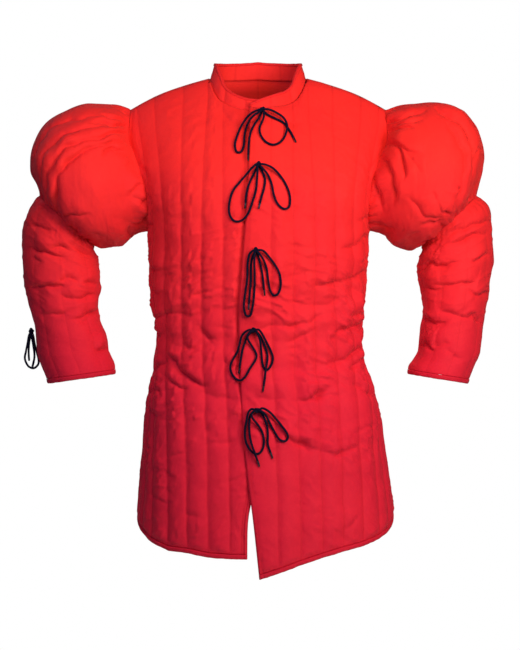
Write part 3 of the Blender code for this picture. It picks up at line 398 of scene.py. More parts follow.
def cloudy(u, v, seed=0):
    """Soft noise from about -1 to 1, one hump to a unit of u and v."""
    u, v = u + 19.7 * seed, v + 7.3 * seed
    i, j = np.floor(u).astype(int), np.floor(v).astype(int)
    x, y = u - i, v - j

    def corner(a, b):
        turn = GRAIN[(i + a) % 64, (j + b) % 64]
        return np.cos(turn) * (x - a) + np.sin(turn) * (y - b)

    fx, fy = ease(x), ease(y)
    upper = corner(0, 0) * (1 - fx) + corner(1, 0) * fx
    lower = corner(0, 1) * (1 - fx) + corner(1, 1) * fx
    return 1.6 * (upper * (1 - fy) + lower * fy)


def ridges(u, v, seed=0, sharp=3.0):
    """Thin raised lines, 0 to 1, where the noise crosses zero: the shape of small wrinkles."""
    return np.clip(1 - np.abs(cloudy(u, v, seed)) * sharp, 0, 1) ** 1.5


print("noise runs from", round(float(cloudy(*np.mgrid[0:9:0.1, 0:9:0.1]).min()), 2))

# %% [markdown]
# ## Where each column of cloth runs
# A stitch line is a constant distance from the centre front below the armpit. Above it, the line leans towards
# its place on the shoulder seam, and the last three bend along the armhole. Each column is found as an angle
# round the section at each height, so its points lie on the form.

# %% Functions that give the trunk's points
FINE_ANGLES = np.linspace(0.0, math.pi / 2, 240)
LEVELS = np.linspace(TRUNK[-1].height, TRUNK[0].height, 187)
PIT = int(np.argmin(np.abs(LEVELS - ARMPIT)))


def trunk_point(angle, height, back):
    """A point of the inner face: angle is 0 at the centre and a quarter turn at the side."""
    power = 2 / SQUARENESS
    face = "back" if back else "front"
    across = by_height(TRUNK, "half_width", height) * np.abs(np.sin(angle)) ** power
    depth = by_height(TRUNK, face, height) * np.abs(np.cos(angle)) ** power
    drop = by_across(SHOULDER_LINE, "height", across) - height
    share = smooth(drop, column(SHOULDER_SLOPE, "drop"), column(SHOULDER_SLOPE, face))
    y = depth * share * (1 if back else -1)
    return np.stack(np.broadcast_arrays(np.sign(angle) * across, y, height), -1)


def angle_at_across(across, height):
    ratio = np.clip(np.abs(across) / by_height(TRUNK, "half_width", height), 0.0, 1.0)
    return np.sign(across) * np.arcsin(ratio ** (SQUARENESS / 2))


def girths(height, back):
    return passed(trunk_point(FINE_ANGLES, np.full_like(FINE_ANGLES, height), back))


GIRTHS = {back: np.array([girths(level, back) for level in LEVELS]) for back in (False, True)}


def angles_at_girths(values, levels, back):
    found = [np.interp(abs(g), GIRTHS[back][k], FINE_ANGLES) for g, k in zip(values, levels)]
    return np.sign(values) * np.array(found)


def girth_at_angle(angle, height, back):
    level = int(np.argmin(np.abs(LEVELS - height)))
    return math.copysign(float(np.interp(abs(angle), FINE_ANGLES, GIRTHS[back][level])), angle)


def column_angles(line, back, tops, edge_at):
    """The angle of one column at each of LEVELS. Line -1 is a front's free edge, 0 its first stitch line."""
    first_line = FIRST_LINE if edge_at else 0.0
    last_full = first_line + FULL_CHANNELS * CHANNEL
    ends = GIRTHS[back][:, -1]
    if line < 1 and edge_at:
        edge = edge_at(LEVELS)
        first = np.maximum(first_line, edge + 0.010)
        inside = edge + (first - edge) * (line + 1)
        girth = inside if line < 0 else first + (first_line + CHANNEL - first) * line
    elif line <= FULL_CHANNELS:
        girth = np.full(len(LEVELS), first_line + line * CHANNEL)
    else:
        girth = last_full + (line - FULL_CHANNELS) / SIDE_CHANNELS * (ends - last_full)

    def across_above(of_line, of_girth):
        start = trunk_point(angles_at_girths(of_girth, [PIT] * len(LEVELS), back), ARMPIT, False)[:, 0]
        end = np.interp(of_line, range(len(tops)), tops)
        return start + (end - start) * ease((LEVELS - ARMPIT) / (SHOULDER_LEVEL - ARMPIT))

    if line < 0:
        across = girth
    elif line <= FULL_CHANNELS:
        across = across_above(line, girth)
    else:
        share = (line - FULL_CHANNELS) / SIDE_CHANNELS
        inner = across_above(FULL_CHANNELS, np.full(len(LEVELS), last_full))
        across = inner + share * (by_height(ARMHOLE, "across", LEVELS) - inner)
    below = angles_at_girths(girth, range(len(LEVELS)), back)
    return np.where(np.arange(len(LEVELS)) <= PIT, below, angle_at_across(across, LEVELS))


def top_height(angles, back):
    """Height of a column's upper end, on the shoulder seam or the neckline."""
    height = SHOULDER_LEVEL
    for _ in range(40):
        angle = float(np.interp(height, LEVELS, angles))
        across = abs(float(trunk_point(np.array(angle), height, back)[0]))
        line = float(by_across(SHOULDER_LINE, "height", across))
        if across >= NECK_SIDE - 1e-5:
            height = line
        elif back:
            height = line - BACK_NECKLINE_DROP * (1 - (across / NECK_SIDE) ** 2)
        else:
            height = float(by_across(FRONT_NECKLINE, "height", across))
    return height


def stations(shares, length, step):
    """Shares of a length about a step apart that hit each given share, and each one's place among them."""
    fine, place = [], []
    for k, (a, b) in enumerate(zip(shares, shares[1:])):
        count = max(2, int(math.ceil((b - a) * length / step)))
        fine.extend(a + (b - a) * n / count for n in range(count))
        place.extend(k + n / count for n in range(count))
    return np.array([*fine, shares[-1]]), np.array([*place, len(shares) - 1.0])


UPPER, UPPER_PLACES = stations(UPPER_SHARES, UPPER_LENGTH, ROW_STEP)
LOWER = np.linspace(0.0, 1.0, LOWER_ROWS)[1:]
Strip = namedtuple("Strip", "form normals line girth to_stitch width")


def trunk_strip(back, tops, hem, edge_at=None, mirror=False):
    """A half front or half back as rows and columns of points, from the centre to the side seam."""
    first = -1 if edge_at else 0
    lines = first + np.arange((FULL_CHANNELS + SIDE_CHANNELS - first) * CUT_COLUMNS + 1) / CUT_COLUMNS
    whole = np.isclose(lines, np.round(lines))
    angles = [column_angles(line, back, tops, edge_at) for line in lines]
    at_hem = [girth_at_angle(float(np.interp(HEM_LEVEL, LEVELS, a)), HEM_LEVEL, back) for a in angles]
    bottoms = np.interp(lines, lines[whole], [hem(g) for g, w in zip(at_hem, whole) if w])
    turns, heights = [], []
    for angle, bottom in zip(angles, bottoms):
        top = top_height(angle, back)
        z = np.concatenate([top + (ARMPIT - top) * UPPER, ARMPIT + (bottom - ARMPIT) * LOWER])
        turns.append(np.interp(z, LEVELS, angle))
        heights.append(z)
    fine = np.arange((len(lines) - 1) * FINE // CUT_COLUMNS + 1) * CUT_COLUMNS / FINE
    line = np.interp(fine, range(len(lines)), lines)
    turns, heights = (
        np.stack([np.interp(fine, range(len(lines)), row) for row in np.array(grid).T])
        for grid in (turns, heights)
    )
    form = trunk_point(turns, heights, back)
    if mirror:
        form = form * (-1, 1, 1)
    form[..., 0] += by_height(TRUNK, "sway", form[..., 2])
    normals = np.cross(np.gradient(form, axis=0), np.gradient(form, axis=1))
    if mirror != back:
        normals = -normals
    normals[:, -1, 1] = 0.0
    steps = np.linalg.norm(np.diff(form, axis=1), axis=2)
    girth = np.concatenate([np.zeros((len(form), 1)), np.cumsum(steps, axis=1)], axis=1)
    stitch = girth[:, ::FINE]
    phase = np.arange(form.shape[1]) / FINE
    after = np.minimum(phase.astype(int), stitch.shape[1] - 2)
    width = stitch[:, after + 1] - stitch[:, after]
    to_stitch = np.abs(np.minimum(girth - stitch[:, after], stitch[:, after + 1] - girth))
    # Above the armpit the side's stitch lines have ended, and one plain channel runs along the armhole.
    last = (FULL_CHANNELS - first) * FINE
    ended = ease((form[:, last:, 2] - ARMPIT - 0.004) / 0.030)
    plain = np.minimum(girth[:, last:] - girth[:, last : last + 1], girth[:, -1:] - girth[:, last:])
    to_stitch[:, last:] += (plain - to_stitch[:, last:]) * ended
    width[:, last:] += (girth[:, -1:] - girth[:, last : last + 1] - width[:, last:]) * ended
    return Strip(form, unit(normals), np.broadcast_to(line, girth.shape), girth, to_stitch, width)


def front_hem(side):
    return lambda girth: float(smooth(girth, column(FRONT_HEM, "girth"), column(FRONT_HEM, side)))


left = trunk_strip(
    False, FRONT_LINE_TOPS, front_hem("left"),
    edge_at=lambda z: by_height(LEFT_EDGE, "across", z) - by_height(TRUNK, "sway", z),
)
right = trunk_strip(
    False, FRONT_LINE_TOPS, front_hem("right"),
    edge_at=lambda z: by_height(TRUNK, "sway", z) - by_height(RIGHT_EDGE, "across", z), mirror=True,
)
back_left = trunk_strip(True, BACK_LINE_TOPS, lambda girth: BACK_HEM)
back_right = trunk_strip(True, BACK_LINE_TOPS, lambda girth: BACK_HEM, mirror=True)
print("points on a front:", left.form.shape[:2], "and on half a back:", back_left.form.shape[:2])

# %% [markdown]
# ## Creases
# The big creases were laid one by one, as a maker reads them off a jacket on a stand. Each is a row: half the
# trough's width, its depth, and its places across and up, all in millimetres. Cloth rises a little above each
# trough, because it is the same cloth that was pressed down.

# %% Tables of creases
Crease = namedtuple("Crease", "half_width depth places")


def crease_table(*rows):
    return [Crease(half_width, depth, places) for half_width, depth, *places in rows]


CREASES = {}
CREASES["left"] = crease_table(
    # the waist, where the padding folds over itself
    (8, 6.5, (45, -444), (64, -443), (91, -436), (109, -427), (116, -417)),
    (7, 4.5, (1, -452), (14, -445), (26, -442), (38, -445), (42, -449)),
    (8, 5, (94, -452), (79, -458), (69, -466), (56, -472), (41, -476)),
    (9, 8, (200, -430), (186, -436), (162, -446), (146, -451), (134, -460), (118, -469)),
    (9, 8, (200, -462), (186, -472), (171, -486), (154, -500), (139, -507), (112, -516)),
    (8, 9, (116, -556), (109, -561), (94, -572), (79, -577), (61, -577)),
    (20, 4, (-20, -574), (17, -572), (47, -577), (70, -580)),
    (8, 7, (200, -570), (186, -562), (174, -552), (162, -544)),
    (9, 5.5, (44, -635), (56, -644), (70, -651), (91, -663), (106, -666)),
    (9, 5, (172, -656), (148, -666), (130, -672), (112, -664)),
    (7, 5.5, (198, -398), (188, -406), (174, -418), (162, -427), (148, -427)),
    (7, 5.5, (200, -500), (186, -507), (174, -510), (156, -522), (145, -525)),
    (7, 3.5, (134, -398), (112, -408), (92, -409)),
    (10, 7, (193, -343), (151, -364), (110, -372), (72, -382)),
    (8, 5, (193, -280), (171, -298), (151, -308), (131, -306)),
    (6, 3.6, (96, -577), (104, -571), (113, -565)),
    (6, 3.4, (193, -321), (180, -329), (166, -331)),
    (6, 3, (200, -244), (184, -254), (166, -262)),
    (6, 2.8, (59, -399), (74, -407), (90, -405)),
    (6, 2.8, (115, -397), (131, -394), (143, -396)),
    # beside the armholes
    (6, 2.8, (206, -150), (193, -169), (200, -190)),
    # the neck and the chest
    (9, 2.5, (30, -72), (57, -86), (78, -88)),
    (7, 1.6, (7, -134), (21, -122), (32, -115)),
    # the skirt
    (9, 4.6, (48, -638), (88, -656), (131, -674)),
    (10, -3.2, (27, -665), (56, -625), (83, -582)),
    (6, 2.9, (131, -674), (144, -667), (155, -670)),
    (6, 3.2, (169, -779), (158, -793), (153, -807)),
    (8, 2.8, (104, -572), (124, -565), (151, -568)),
    (8, 2.9, (172, -632), (192, -624), (209, -632)),
)
CREASES["right"] = crease_table(
    # the waist, where the padding folds over itself
    (9, 6, (-196, -536), (-176, -521), (-161, -510), (-152, -503)),
    (9, 10, (-148, -502), (-139, -513), (-131, -528), (-117, -540), (-102, -547), (-78, -554)),
    (7, 5.5, (-190, -431), (-167, -426), (-149, -420), (-128, -423), (-120, -432)),
    (7, 5.5, (-152, -538), (-134, -554), (-114, -559)),
    (6, 4, (-190, -450), (-172, -460), (-158, -460)),
    (20, 4, (-100, -560), (-60, -572), (-20, -576)),
    (8, 3.5, (-99, -455), (-87, -464), (-64, -473)),
    (7, 4.5, (-194, -566), (-176, -561), (-162, -574)),
    (6, 3, (-126, -478), (-114, -486), (-98, -487)),
    (6, 3.6, (-112, -392), (-93, -384), (-76, -384)),
    (7, 3.6, (-102, -442), (-86, -466), (-74, -485)),
    (5, 2.8, (-35, -399), (-45, -405), (-62, -419)),
    (6, 3.6, (-186, -339), (-168, -347), (-152, -345)),
    (6, 3.1, (-59, -507), (-47, -515), (-31, -513)),
    (6, 3.1, (-186, -380), (-172, -386), (-156, -382)),
    # beside the armholes
    (6, 2.8, (-214, -158), (-199, -173), (-192, -190)),
    (6, 3.1, (-203, -250), (-189, -265), (-180, -259)),
    (6, 2.1, (-196, -210), (-184, -222), (-186, -236)),
    # the neck and the chest
    (9, 2.3, (-62, -66), (-48, -84), (-26, -92)),
    # the skirt
    (6, 2.3, (-126, -667), (-146, -674), (-165, -679)),
    (6, 2.3, (-186, -744), (-172, -751), (-142, -757)),
    (6, 2.2, (-126, -773), (-105, -775), (-90, -779)),
    (6, 2.2, (-76, -651), (-45, -648), (-29, -641)),
    (6, 2, (-48, -717), (-34, -712), (-18, -705)),
    (6, 2.3, (-160, -701), (-148, -710), (-138, -706)),
    (8, 3.2, (-193, -593), (-174, -605), (-156, -601)),
)
CREASES["back"] = crease_table(
    (12, 8.1, (190, -452), (130, -470), (70, -474)),
    (12, 7.4, (-192, -430), (-120, -450), (-60, -452)),
    (9, 5.1, (188, -372), (120, -392), (50, -402)),
    (9, 4.9, (-190, -520), (-140, -508), (-90, -500)),
    (7, 3.5, (40, -436), (0, -442), (-44, -432)),
    (7, 3.2, (160, -520), (110, -528), (70, -520)),
    (7, 3, (-186, -350), (-150, -362), (-110, -360)),
    (7, 2.7, (206, -180), (190, -205), (176, -215)),
    (7, 2.7, (-206, -176), (-188, -200), (-170, -206)),
    (8, 2.7, (120, -640), (160, -652), (196, -648)),
    (8, 2.7, (-104, -680), (-150, -668), (-200, -676)),
)
ROLL = 0.55  # height of the roll above a trough, as a share of the trough's depth


def pressed(points, creases):
    """How far creases press cloth in at each point, seen from the front or the back.

    A crease is deepest near its first place and fades out at its last one. Its bottom is sharp, and the cloth
    above it rolls over.
    """
    total = np.zeros(points.shape[:-1])
    u, v = points[..., 0], points[..., 2]
    waver = np.stack([cloudy(u / 0.024, v / 0.024, 71), cloudy(u / 0.020, v / 0.020, 72)], axis=-1)
    here = points[..., (0, 2)] + 0.0034 * waver
    uneven = 0.95 + 0.5 * cloudy(u / 0.034, v / 0.034, 73)
    for crease in creases:
        places = np.array(crease.places) / 1000
        width = crease.half_width / 1000
        box = 6 * width
        near = np.all((here > places.min(axis=0) - box) & (here < places.max(axis=0) + box), axis=-1)
        spot = here[near]
        places = through_points(places, 5)
        whole = places[-1] - places[0]
        up = 1.0 if abs(whole[0]) < 1e-9 or whole[0] > 0 else -1.0
        lengths = np.linalg.norm(np.diff(places, axis=0), axis=1)
        passed = np.concatenate([[0.0], np.cumsum(lengths)])
        nearest, share = np.full(len(spot), 9.0), np.zeros(len(spot))
        above, beyond = np.zeros(len(spot)), np.zeros(len(spot))
        for start, end, before, length in zip(places, places[1:], passed, lengths):
            way = (end - start) / length
            away = spot - start
            along = away @ way
            side = (away[:, 1] * way[0] - away[:, 0] * way[1]) * up
            past = np.maximum(np.maximum(-along, along - length), 0.0)
            distance = np.hypot(side, past)
            closer = distance < nearest
            nearest = np.where(closer, distance, nearest)
            above = np.where(closer, side, above)
            beyond = np.where(closer, past, beyond)
            share = np.where(closer, (before + np.clip(along, 0, length)) / passed[-1], share)
        fade = ease(np.minimum((share + 0.16) / 0.34, (1.02 - share) / 0.46))
        trough = np.exp(-nearest / (0.56 * width))
        reach = np.maximum(above, 0.0) / (1.5 * width)
        roll = reach * np.exp(1 - reach) * np.exp(-((beyond / width) ** 2))
        total[near] += crease.depth / 1000 * fade * uneven[near] * (trough - ROLL * roll)
    return total


print("creases on the trunk:", sum(len(rows) for rows in CREASES.values()))

# %% [markdown]
# ## The cloth of the trunk
# Each strip's outer face is its form, moved out along its normals. The padding swells between two stitch lines
# and drops into a sharp valley at each of them. Beside a line, the thread draws small puckers across it. Where the
# waist narrows, longer wrinkles run across the channels. At a seam the cloth tapers into a groove, and at a free
# edge it rounds off before a row of topstitching.

# %% Build the outer and inner faces of the trunk
TOPSTITCH = 0.0065  # from a free edge to its row of stitches
PUCKER = 0.0036  # depth of the puckers beside a stitch line
THREAD_RIPPLE = 0.0005
THREAD_GROOVE = 0.0002
WRINKLE = 0.0056  # height of the wrinkles across the channels
WAVE = 0.0034
SAG = 0.0016
EDGE_ROUND = 0.0040  # a free edge is rounded off over this width
SIDE_TAPER, TOP_TAPER, HEM_TAPER = 0.010, 0.009, 0.010  # width over which the padding thins toward a seam
Cloth = namedtuple("Cloth", "inner outer chart stitch")


def lap_lift(girth):
    return LAP_LIFT * ease((LAP_REACH - girth) / LAP_FADE)


def busy(height):
    """How wrinkled the trunk is at a height: little on the chest, most at the waist and in the skirt."""
    heights = np.array([-0.90, -0.80, -0.68, -0.58, -0.50, -0.44, -0.37, -0.30, -0.22, -0.10, 0.05])
    shares = np.array([0.38, 0.42, 0.52, 0.72, 1.00, 1.10, 1.00, 0.68, 0.40, 0.28, 0.25])
    return np.interp(height, heights, shares)


def dress(strip, panel, seed, free_edge=False, lift=None, under=None):
    """A strip's faces with padding, puckers, wrinkles and creases."""
    form, normals, line, girth, to_stitch, width = strip
    height = form[..., 2]
    rows, columns = height.shape
    share = np.clip(to_stitch / np.maximum(width, 1e-6), 0.0, 0.5)
    full = np.sin(math.pi * share) ** 0.72
    loft = np.clip((width - 0.006) / 0.026, 0.15, 1.0)
    crown = (WALL_AT_CROWN - WALL_AT_STITCH) * loft
    much = busy(height)
    flat = 0.42 + 0.58 * ease((-0.14 - height) / 0.16)
    lumpy = 1 + (0.08 + 0.19 * much) * cloudy(line * 1.4, height / 0.032, seed)
    thick = WALL_AT_STITCH + crown * full * lumpy * flat

    nearest_line = np.round(line)
    signed = (line - nearest_line) * width
    tilt = 0.9 * cloudy(nearest_line * 3.1, height / 0.06, seed + 9) * signed
    cut = np.clip(1 - 2.6 * np.abs(cloudy(nearest_line * 5.7 + 0.5, (height + tilt) / 0.024, seed + 1)), 0, 1)
    some = np.clip(0.55 + 1.1 * cloudy(nearest_line * 2.3 + 0.2, height / 0.050, seed + 10), 0, 1)
    beside = np.exp(-to_stitch / 0.0095) * ease(0.25 + to_stitch / 0.0025)
    thick -= PUCKER * much * cut * some * beside * loft * np.clip((width - 0.012) / 0.020, 0.3, 1)
    ripple = cloudy(line * 0.9 + 0.6 * nearest_line, height / 0.0075, seed + 1)
    thick += THREAD_RIPPLE * much * np.exp(-to_stitch / 0.006) * ripple * loft
    thick -= THREAD_GROOVE * np.exp(-((to_stitch / 0.0014) ** 2))

    sway = 0.012 * cloudy(line * 0.5, height / 0.06, seed + 2)
    wrinkle = ridges(line * 0.70, (height + sway + 0.5 * signed) / 0.023, seed + 3, 2.4)
    wrinkle *= np.clip(0.5 + cloudy(line * 0.45, height / 0.075, seed + 4), 0, 1)
    low = cloudy(line * 0.42, (height + sway) / 0.036, seed + 5)
    move = WRINKLE * much * wrinkle * (0.25 + 0.75 * full) + WAVE * much * low
    move += SAG * cloudy(line * 0.30, height / 0.11, seed + 6)

    from_top = np.linalg.norm(form - form[:1], axis=-1)
    from_side = girth[:, -1:] - girth
    from_hem = height - height[-1:]
    holds = ease(from_top / 0.020) * ease(from_side / 0.014) * (0.35 + 0.65 * ease(from_hem / 0.016))
    beside_seam = 0.35 + 0.65 * ease(from_side / 0.060)
    if free_edge:
        holds = holds * (0.4 + 0.6 * ease(girth / 0.012))
    move = (move * beside_seam - pressed(form, CREASES[panel])) * holds

    seam = WALL_AT_ARMHOLE + (thick - WALL_AT_ARMHOLE) * ease(from_side / SIDE_TAPER)
    thick = np.where(from_side < SIDE_TAPER, seam, thick)
    thick = WALL_AT_TOP + (thick - WALL_AT_TOP) * ease(from_top / TOP_TAPER)
    thick = WALL_AT_HEM + (thick - WALL_AT_HEM) * ease(from_hem / HEM_TAPER)
    if free_edge:
        rounded = np.sqrt(np.clip(1 - (1 - girth / EDGE_ROUND) ** 2, 0.0, 1.0))
        thick = np.where(girth < EDGE_ROUND, thick * (0.30 + 0.70 * rounded), thick)
        sewn = np.exp(-(((girth - TOPSTITCH) / 0.0012) ** 2))
        bead = np.exp(-(((girth - 0.0032) / 0.0022) ** 2))
        thick += 0.0009 * bead - 0.0012 * sewn
        thick += 0.0003 * sewn * cloudy(girth * 0 + 0.3, height / 0.0055, seed + 8)
    raised = np.zeros_like(height) if lift is None else lift(girth_from_centre(strip))
    if under is not None:
        hidden = under(girth_from_centre(strip), height)
        thick += hidden * (WALL_AT_STITCH - thick)
        move += hidden * (np.minimum(move, 0.0) - move)
    aside = unit(np.gradient(form, axis=1))
    weave = 0.0022 * much * cloudy(nearest_line * 2.7, height / 0.021, seed + 12) * np.exp(-to_stitch / 0.010)
    weave = (weave + 0.0012 * cloudy(line * 0.4, height / 0.05, seed + 13)) * holds * ease(girth / 0.02)
    form = form + aside * weave[..., None]
    inner = form + normals * (raised + move)[..., None]
    outer = form + normals * (raised + move + thick)[..., None]
    chart = np.stack([line * CHANNEL, height], axis=-1)
    stitch = to_stitch if not free_edge else np.minimum(to_stitch, np.abs(girth - TOPSTITCH))
    return Cloth(inner, outer, chart, stitch)


def girth_from_centre(strip):
    """Distance round from the centre front or back: negative past it."""
    start = strip.form[:, :1, 0] - by_height(TRUNK, "sway", strip.form[:, :1, 2])
    return strip.girth + start * np.sign(strip.form[:, -1:, 0])


def beneath_lap(girth, height):
    """1 where the left front lies over the right one, and 0 a little way out from its edge."""
    edge = -by_height(LEFT_EDGE, "across", height)
    return 1 - ease((girth - edge - 0.001) / 0.010)


left_cloth = dress(left, "left", 1, free_edge=True, lift=lap_lift)
right_cloth = dress(right, "right", 11, free_edge=True, under=beneath_lap)
back_left_cloth = dress(back_left, "back", 21)
back_right_cloth = dress(back_right, "back", 31)
for label, cloth in (("left", left_cloth), ("right", right_cloth), ("back", back_left_cloth)):
    thick = np.linalg.norm(cloth.outer - cloth.inner, axis=-1)
    print(f"{label}: wall {thick.min() * 1000:.1f} to {thick.max() * 1000:.1f} mm")

# %% [markdown]
# ## The armholes
# The panels' edges and the puff meet in a mitre round each armhole. The rim of each panel turns to halfway between
# the panel's own outward direction and the puff's. The puff starts from the same edge and rim, so there is no gap
# to see through. The turn of each edge point round the arm is kept, so that the gathers follow it.

# %% Tables of the arms and the armhole's mitre
RING = "out_across out_height in_across in_height front back behind"
PUFF = table(
    RING,
    (0.236, -0.054, 0.200, -0.270, 0.066, 0.060, 0.000),
    (0.262, -0.046, 0.214, -0.274, 0.092, 0.084, 0.000),
    (0.306, -0.046, 0.228, -0.282, 0.112, 0.102, 0.000),
    (0.348, -0.060, 0.240, -0.296, 0.122, 0.112, 0.000),
    (0.384, -0.087, 0.251, -0.305, 0.125, 0.116, 0.002),
    (0.405, -0.124, 0.267, -0.308, 0.121, 0.114, 0.004),
    (0.410, -0.162, 0.281, -0.306, 0.110, 0.104, 0.006),
    (0.401, -0.192, 0.291, -0.299, 0.095, 0.092, 0.008),
    (0.391, -0.211, 0.302, -0.293, 0.072, 0.072, 0.009),
)
SLEEVE = table(
    RING,
    (0.402, -0.223, 0.302, -0.305, 0.068, 0.069, 0.011),
    (0.411, -0.240, 0.298, -0.315, 0.070, 0.071, 0.012),
    (0.419, -0.278, 0.292, -0.328, 0.071, 0.071, 0.013),
    (0.422, -0.318, 0.287, -0.348, 0.070, 0.070, 0.013),
    (0.420, -0.353, 0.285, -0.373, 0.069, 0.068, 0.012),
    (0.413, -0.388, 0.288, -0.400, 0.066, 0.065, 0.010),
    (0.403, -0.432, 0.285, -0.434, 0.062, 0.061, 0.006),
    (0.399, -0.471, 0.276, -0.469, 0.059, 0.058, 0.001),
    (0.395, -0.493, 0.273, -0.489, 0.058, 0.056, -0.002),
    (0.387, -0.512, 0.266, -0.505, 0.057, 0.055, -0.005),
    (0.380, -0.527, 0.262, -0.517, 0.056, 0.054, -0.008),
    (0.375, -0.539, 0.262, -0.523, 0.055, 0.054, -0.010),
)
ARM_LEAN = 0.012
LEAN_TOP, LEAN_HEIGHT = -0.30, 0.10
RIM_ROWS = len(UPPER)
RIM_FADE = 0.009  # width over which a panel turns into its rim


def arm_lean(in_height, side):
    """How much farther out the left sleeve's inner side lies below the elbow."""
    return ARM_LEAN * ease((LEAN_TOP - in_height) / LEAN_HEIGHT) if side > 0 else 0.0


def ring_grid(rows, side, places, turns):
    """Rings of points at fractional places among a table's rows.

    A turn of 0 is a ring's outer end, and a quarter turn is its front.
    """

    def field(name):
        return smooth(places, np.arange(len(rows)), column(rows, name))[:, None]

    outer = np.concatenate([field("out_across"), field("behind"), field("out_height")], axis=1)
    across = field("in_across") + arm_lean(field("in_height"), side)
    inner = np.concatenate([across, field("behind"), field("in_height")], axis=1)
    middle, half = (outer + inner) / 2, (outer - inner) / 2
    reach = np.where(np.sin(turns) > 0, field("front"), field("back"))
    points = middle[:, None] + half[:, None] * np.cos(turns)[..., None]
    points[..., 1] -= reach * np.sin(turns)
    return points * (side, 1, 1)


def armhole(front, behind):
    front, behind = front[:RIM_ROWS, -1].copy(), behind[:RIM_ROWS, -1].copy()
    for end in (0, -1):
        front[end, 1] = behind[end, 1] = 0.0
    return np.concatenate([front, behind[::-1][1:]])


RIM_TURNS = np.concatenate([UPPER_PLACES, 14 - UPPER_PLACES[::-1][1:]]) / 14 * 2 * math.pi


def mitre(side, front, behind, front_strip, back_strip):
    """Turn the armhole's rim, and return its inner edge and its outer rim for the puff to start from."""
    edge, rim = (armhole(getattr(front, k), getattr(behind, k)) for k in ("inner", "outer"))
    normal = unit(rim - edge)
    leaving = unit(ring_grid(PUFF, side, np.array([1.0]), RIM_TURNS)[0] - edge)
    toward_hole = unit(np.cross(along_ring(edge), normal))
    toward_hole *= np.sign(np.sum(toward_hole * (edge[:-1].mean(axis=0) - edge), axis=1))[:, None]
    turned = edge + unit(1.6 * normal + leaving - toward_hole) * np.linalg.norm(rim - edge, axis=1)[:, None]
    halves = ((front, front_strip, slice(0, RIM_ROWS), 1), (behind, back_strip, slice(RIM_ROWS - 1, None), -1))
    for cloth, strip, part, order in halves:
        from_side = strip.girth[:RIM_ROWS, -1:] - strip.girth[:RIM_ROWS]
        fade = np.clip(1 - from_side / RIM_FADE, 0, 1)[..., None] ** 2
        for grid, points in ((cloth.inner, edge), (cloth.outer, turned)):
            kept = (points - toward_hole * ARMHOLE_GAP)[part][::order]
            grid[:RIM_ROWS] += fade * (kept - grid[:RIM_ROWS, -1])[:, None]
    return edge, turned


LEFT_RIM = mitre(1, left_cloth, back_left_cloth, left, back_left)
RIGHT_RIM = mitre(-1, right_cloth, back_right_cloth, right, back_right)
print("points round an armhole:", len(RIM_TURNS))

# %% [markdown]
# ## Walls of cloth
# A panel is a closed wall: a fine outer face, an inner face with fewer points, and a rim all round. The side seams
# and the armholes keep a hair's breadth between two panels, as they are separate pieces in the solids too. Each
# wall carries two charts. The UV map holds distances along the cloth in metres, and an attribute holds the
# distance to the nearest row of stitches.

# %% Build walls from grids
RED = bpy.data.materials.new("padded red cotton")
TAPE = bpy.data.materials.new("red cotton tape")
CORD = bpy.data.materials.new("navy cord")
TIP = bpy.data.materials.new("grey metal")


def add_mesh(name, places, faces, charts, finish, stitch=None):
    """A mesh object with a UV place for each corner of each face, and its faces turned outwards."""
    mesh = bpy.data.meshes.new(name)
    mesh.from_pydata(places, [], faces)
    chart = mesh.uv_layers.new(name="cut")
    chart.data.foreach_set("uv", np.asarray(charts, float).ravel())
    if stitch is not None:
        mesh.attributes.new("stitch", "FLOAT", "POINT").data.foreach_set("value", stitch)
    builder = bmesh.new()
    builder.from_mesh(mesh)
    loose = [v for v in builder.verts if not v.link_faces]
    bmesh.ops.delete(builder, geom=loose, context="VERTS")
    bmesh.ops.recalc_face_normals(builder, faces=builder.faces)
    builder.to_mesh(mesh)
    builder.free()
    mesh.materials.append(finish)
    mesh.shade_smooth()
    made = bpy.data.objects.new(name, mesh)
    bpy.context.scene.collection.objects.link(made)
    return made


def quads(grid):
    """The four corners of each cell in a grid of numbers."""
    return np.stack([grid[:-1, :-1], grid[1:, :-1], grid[1:, 1:], grid[:-1, 1:]], axis=-1).reshape(-1, 4)


def sparse(count, step, stops=()):
    return np.unique([*range(0, count, step), *stops, count - 1])


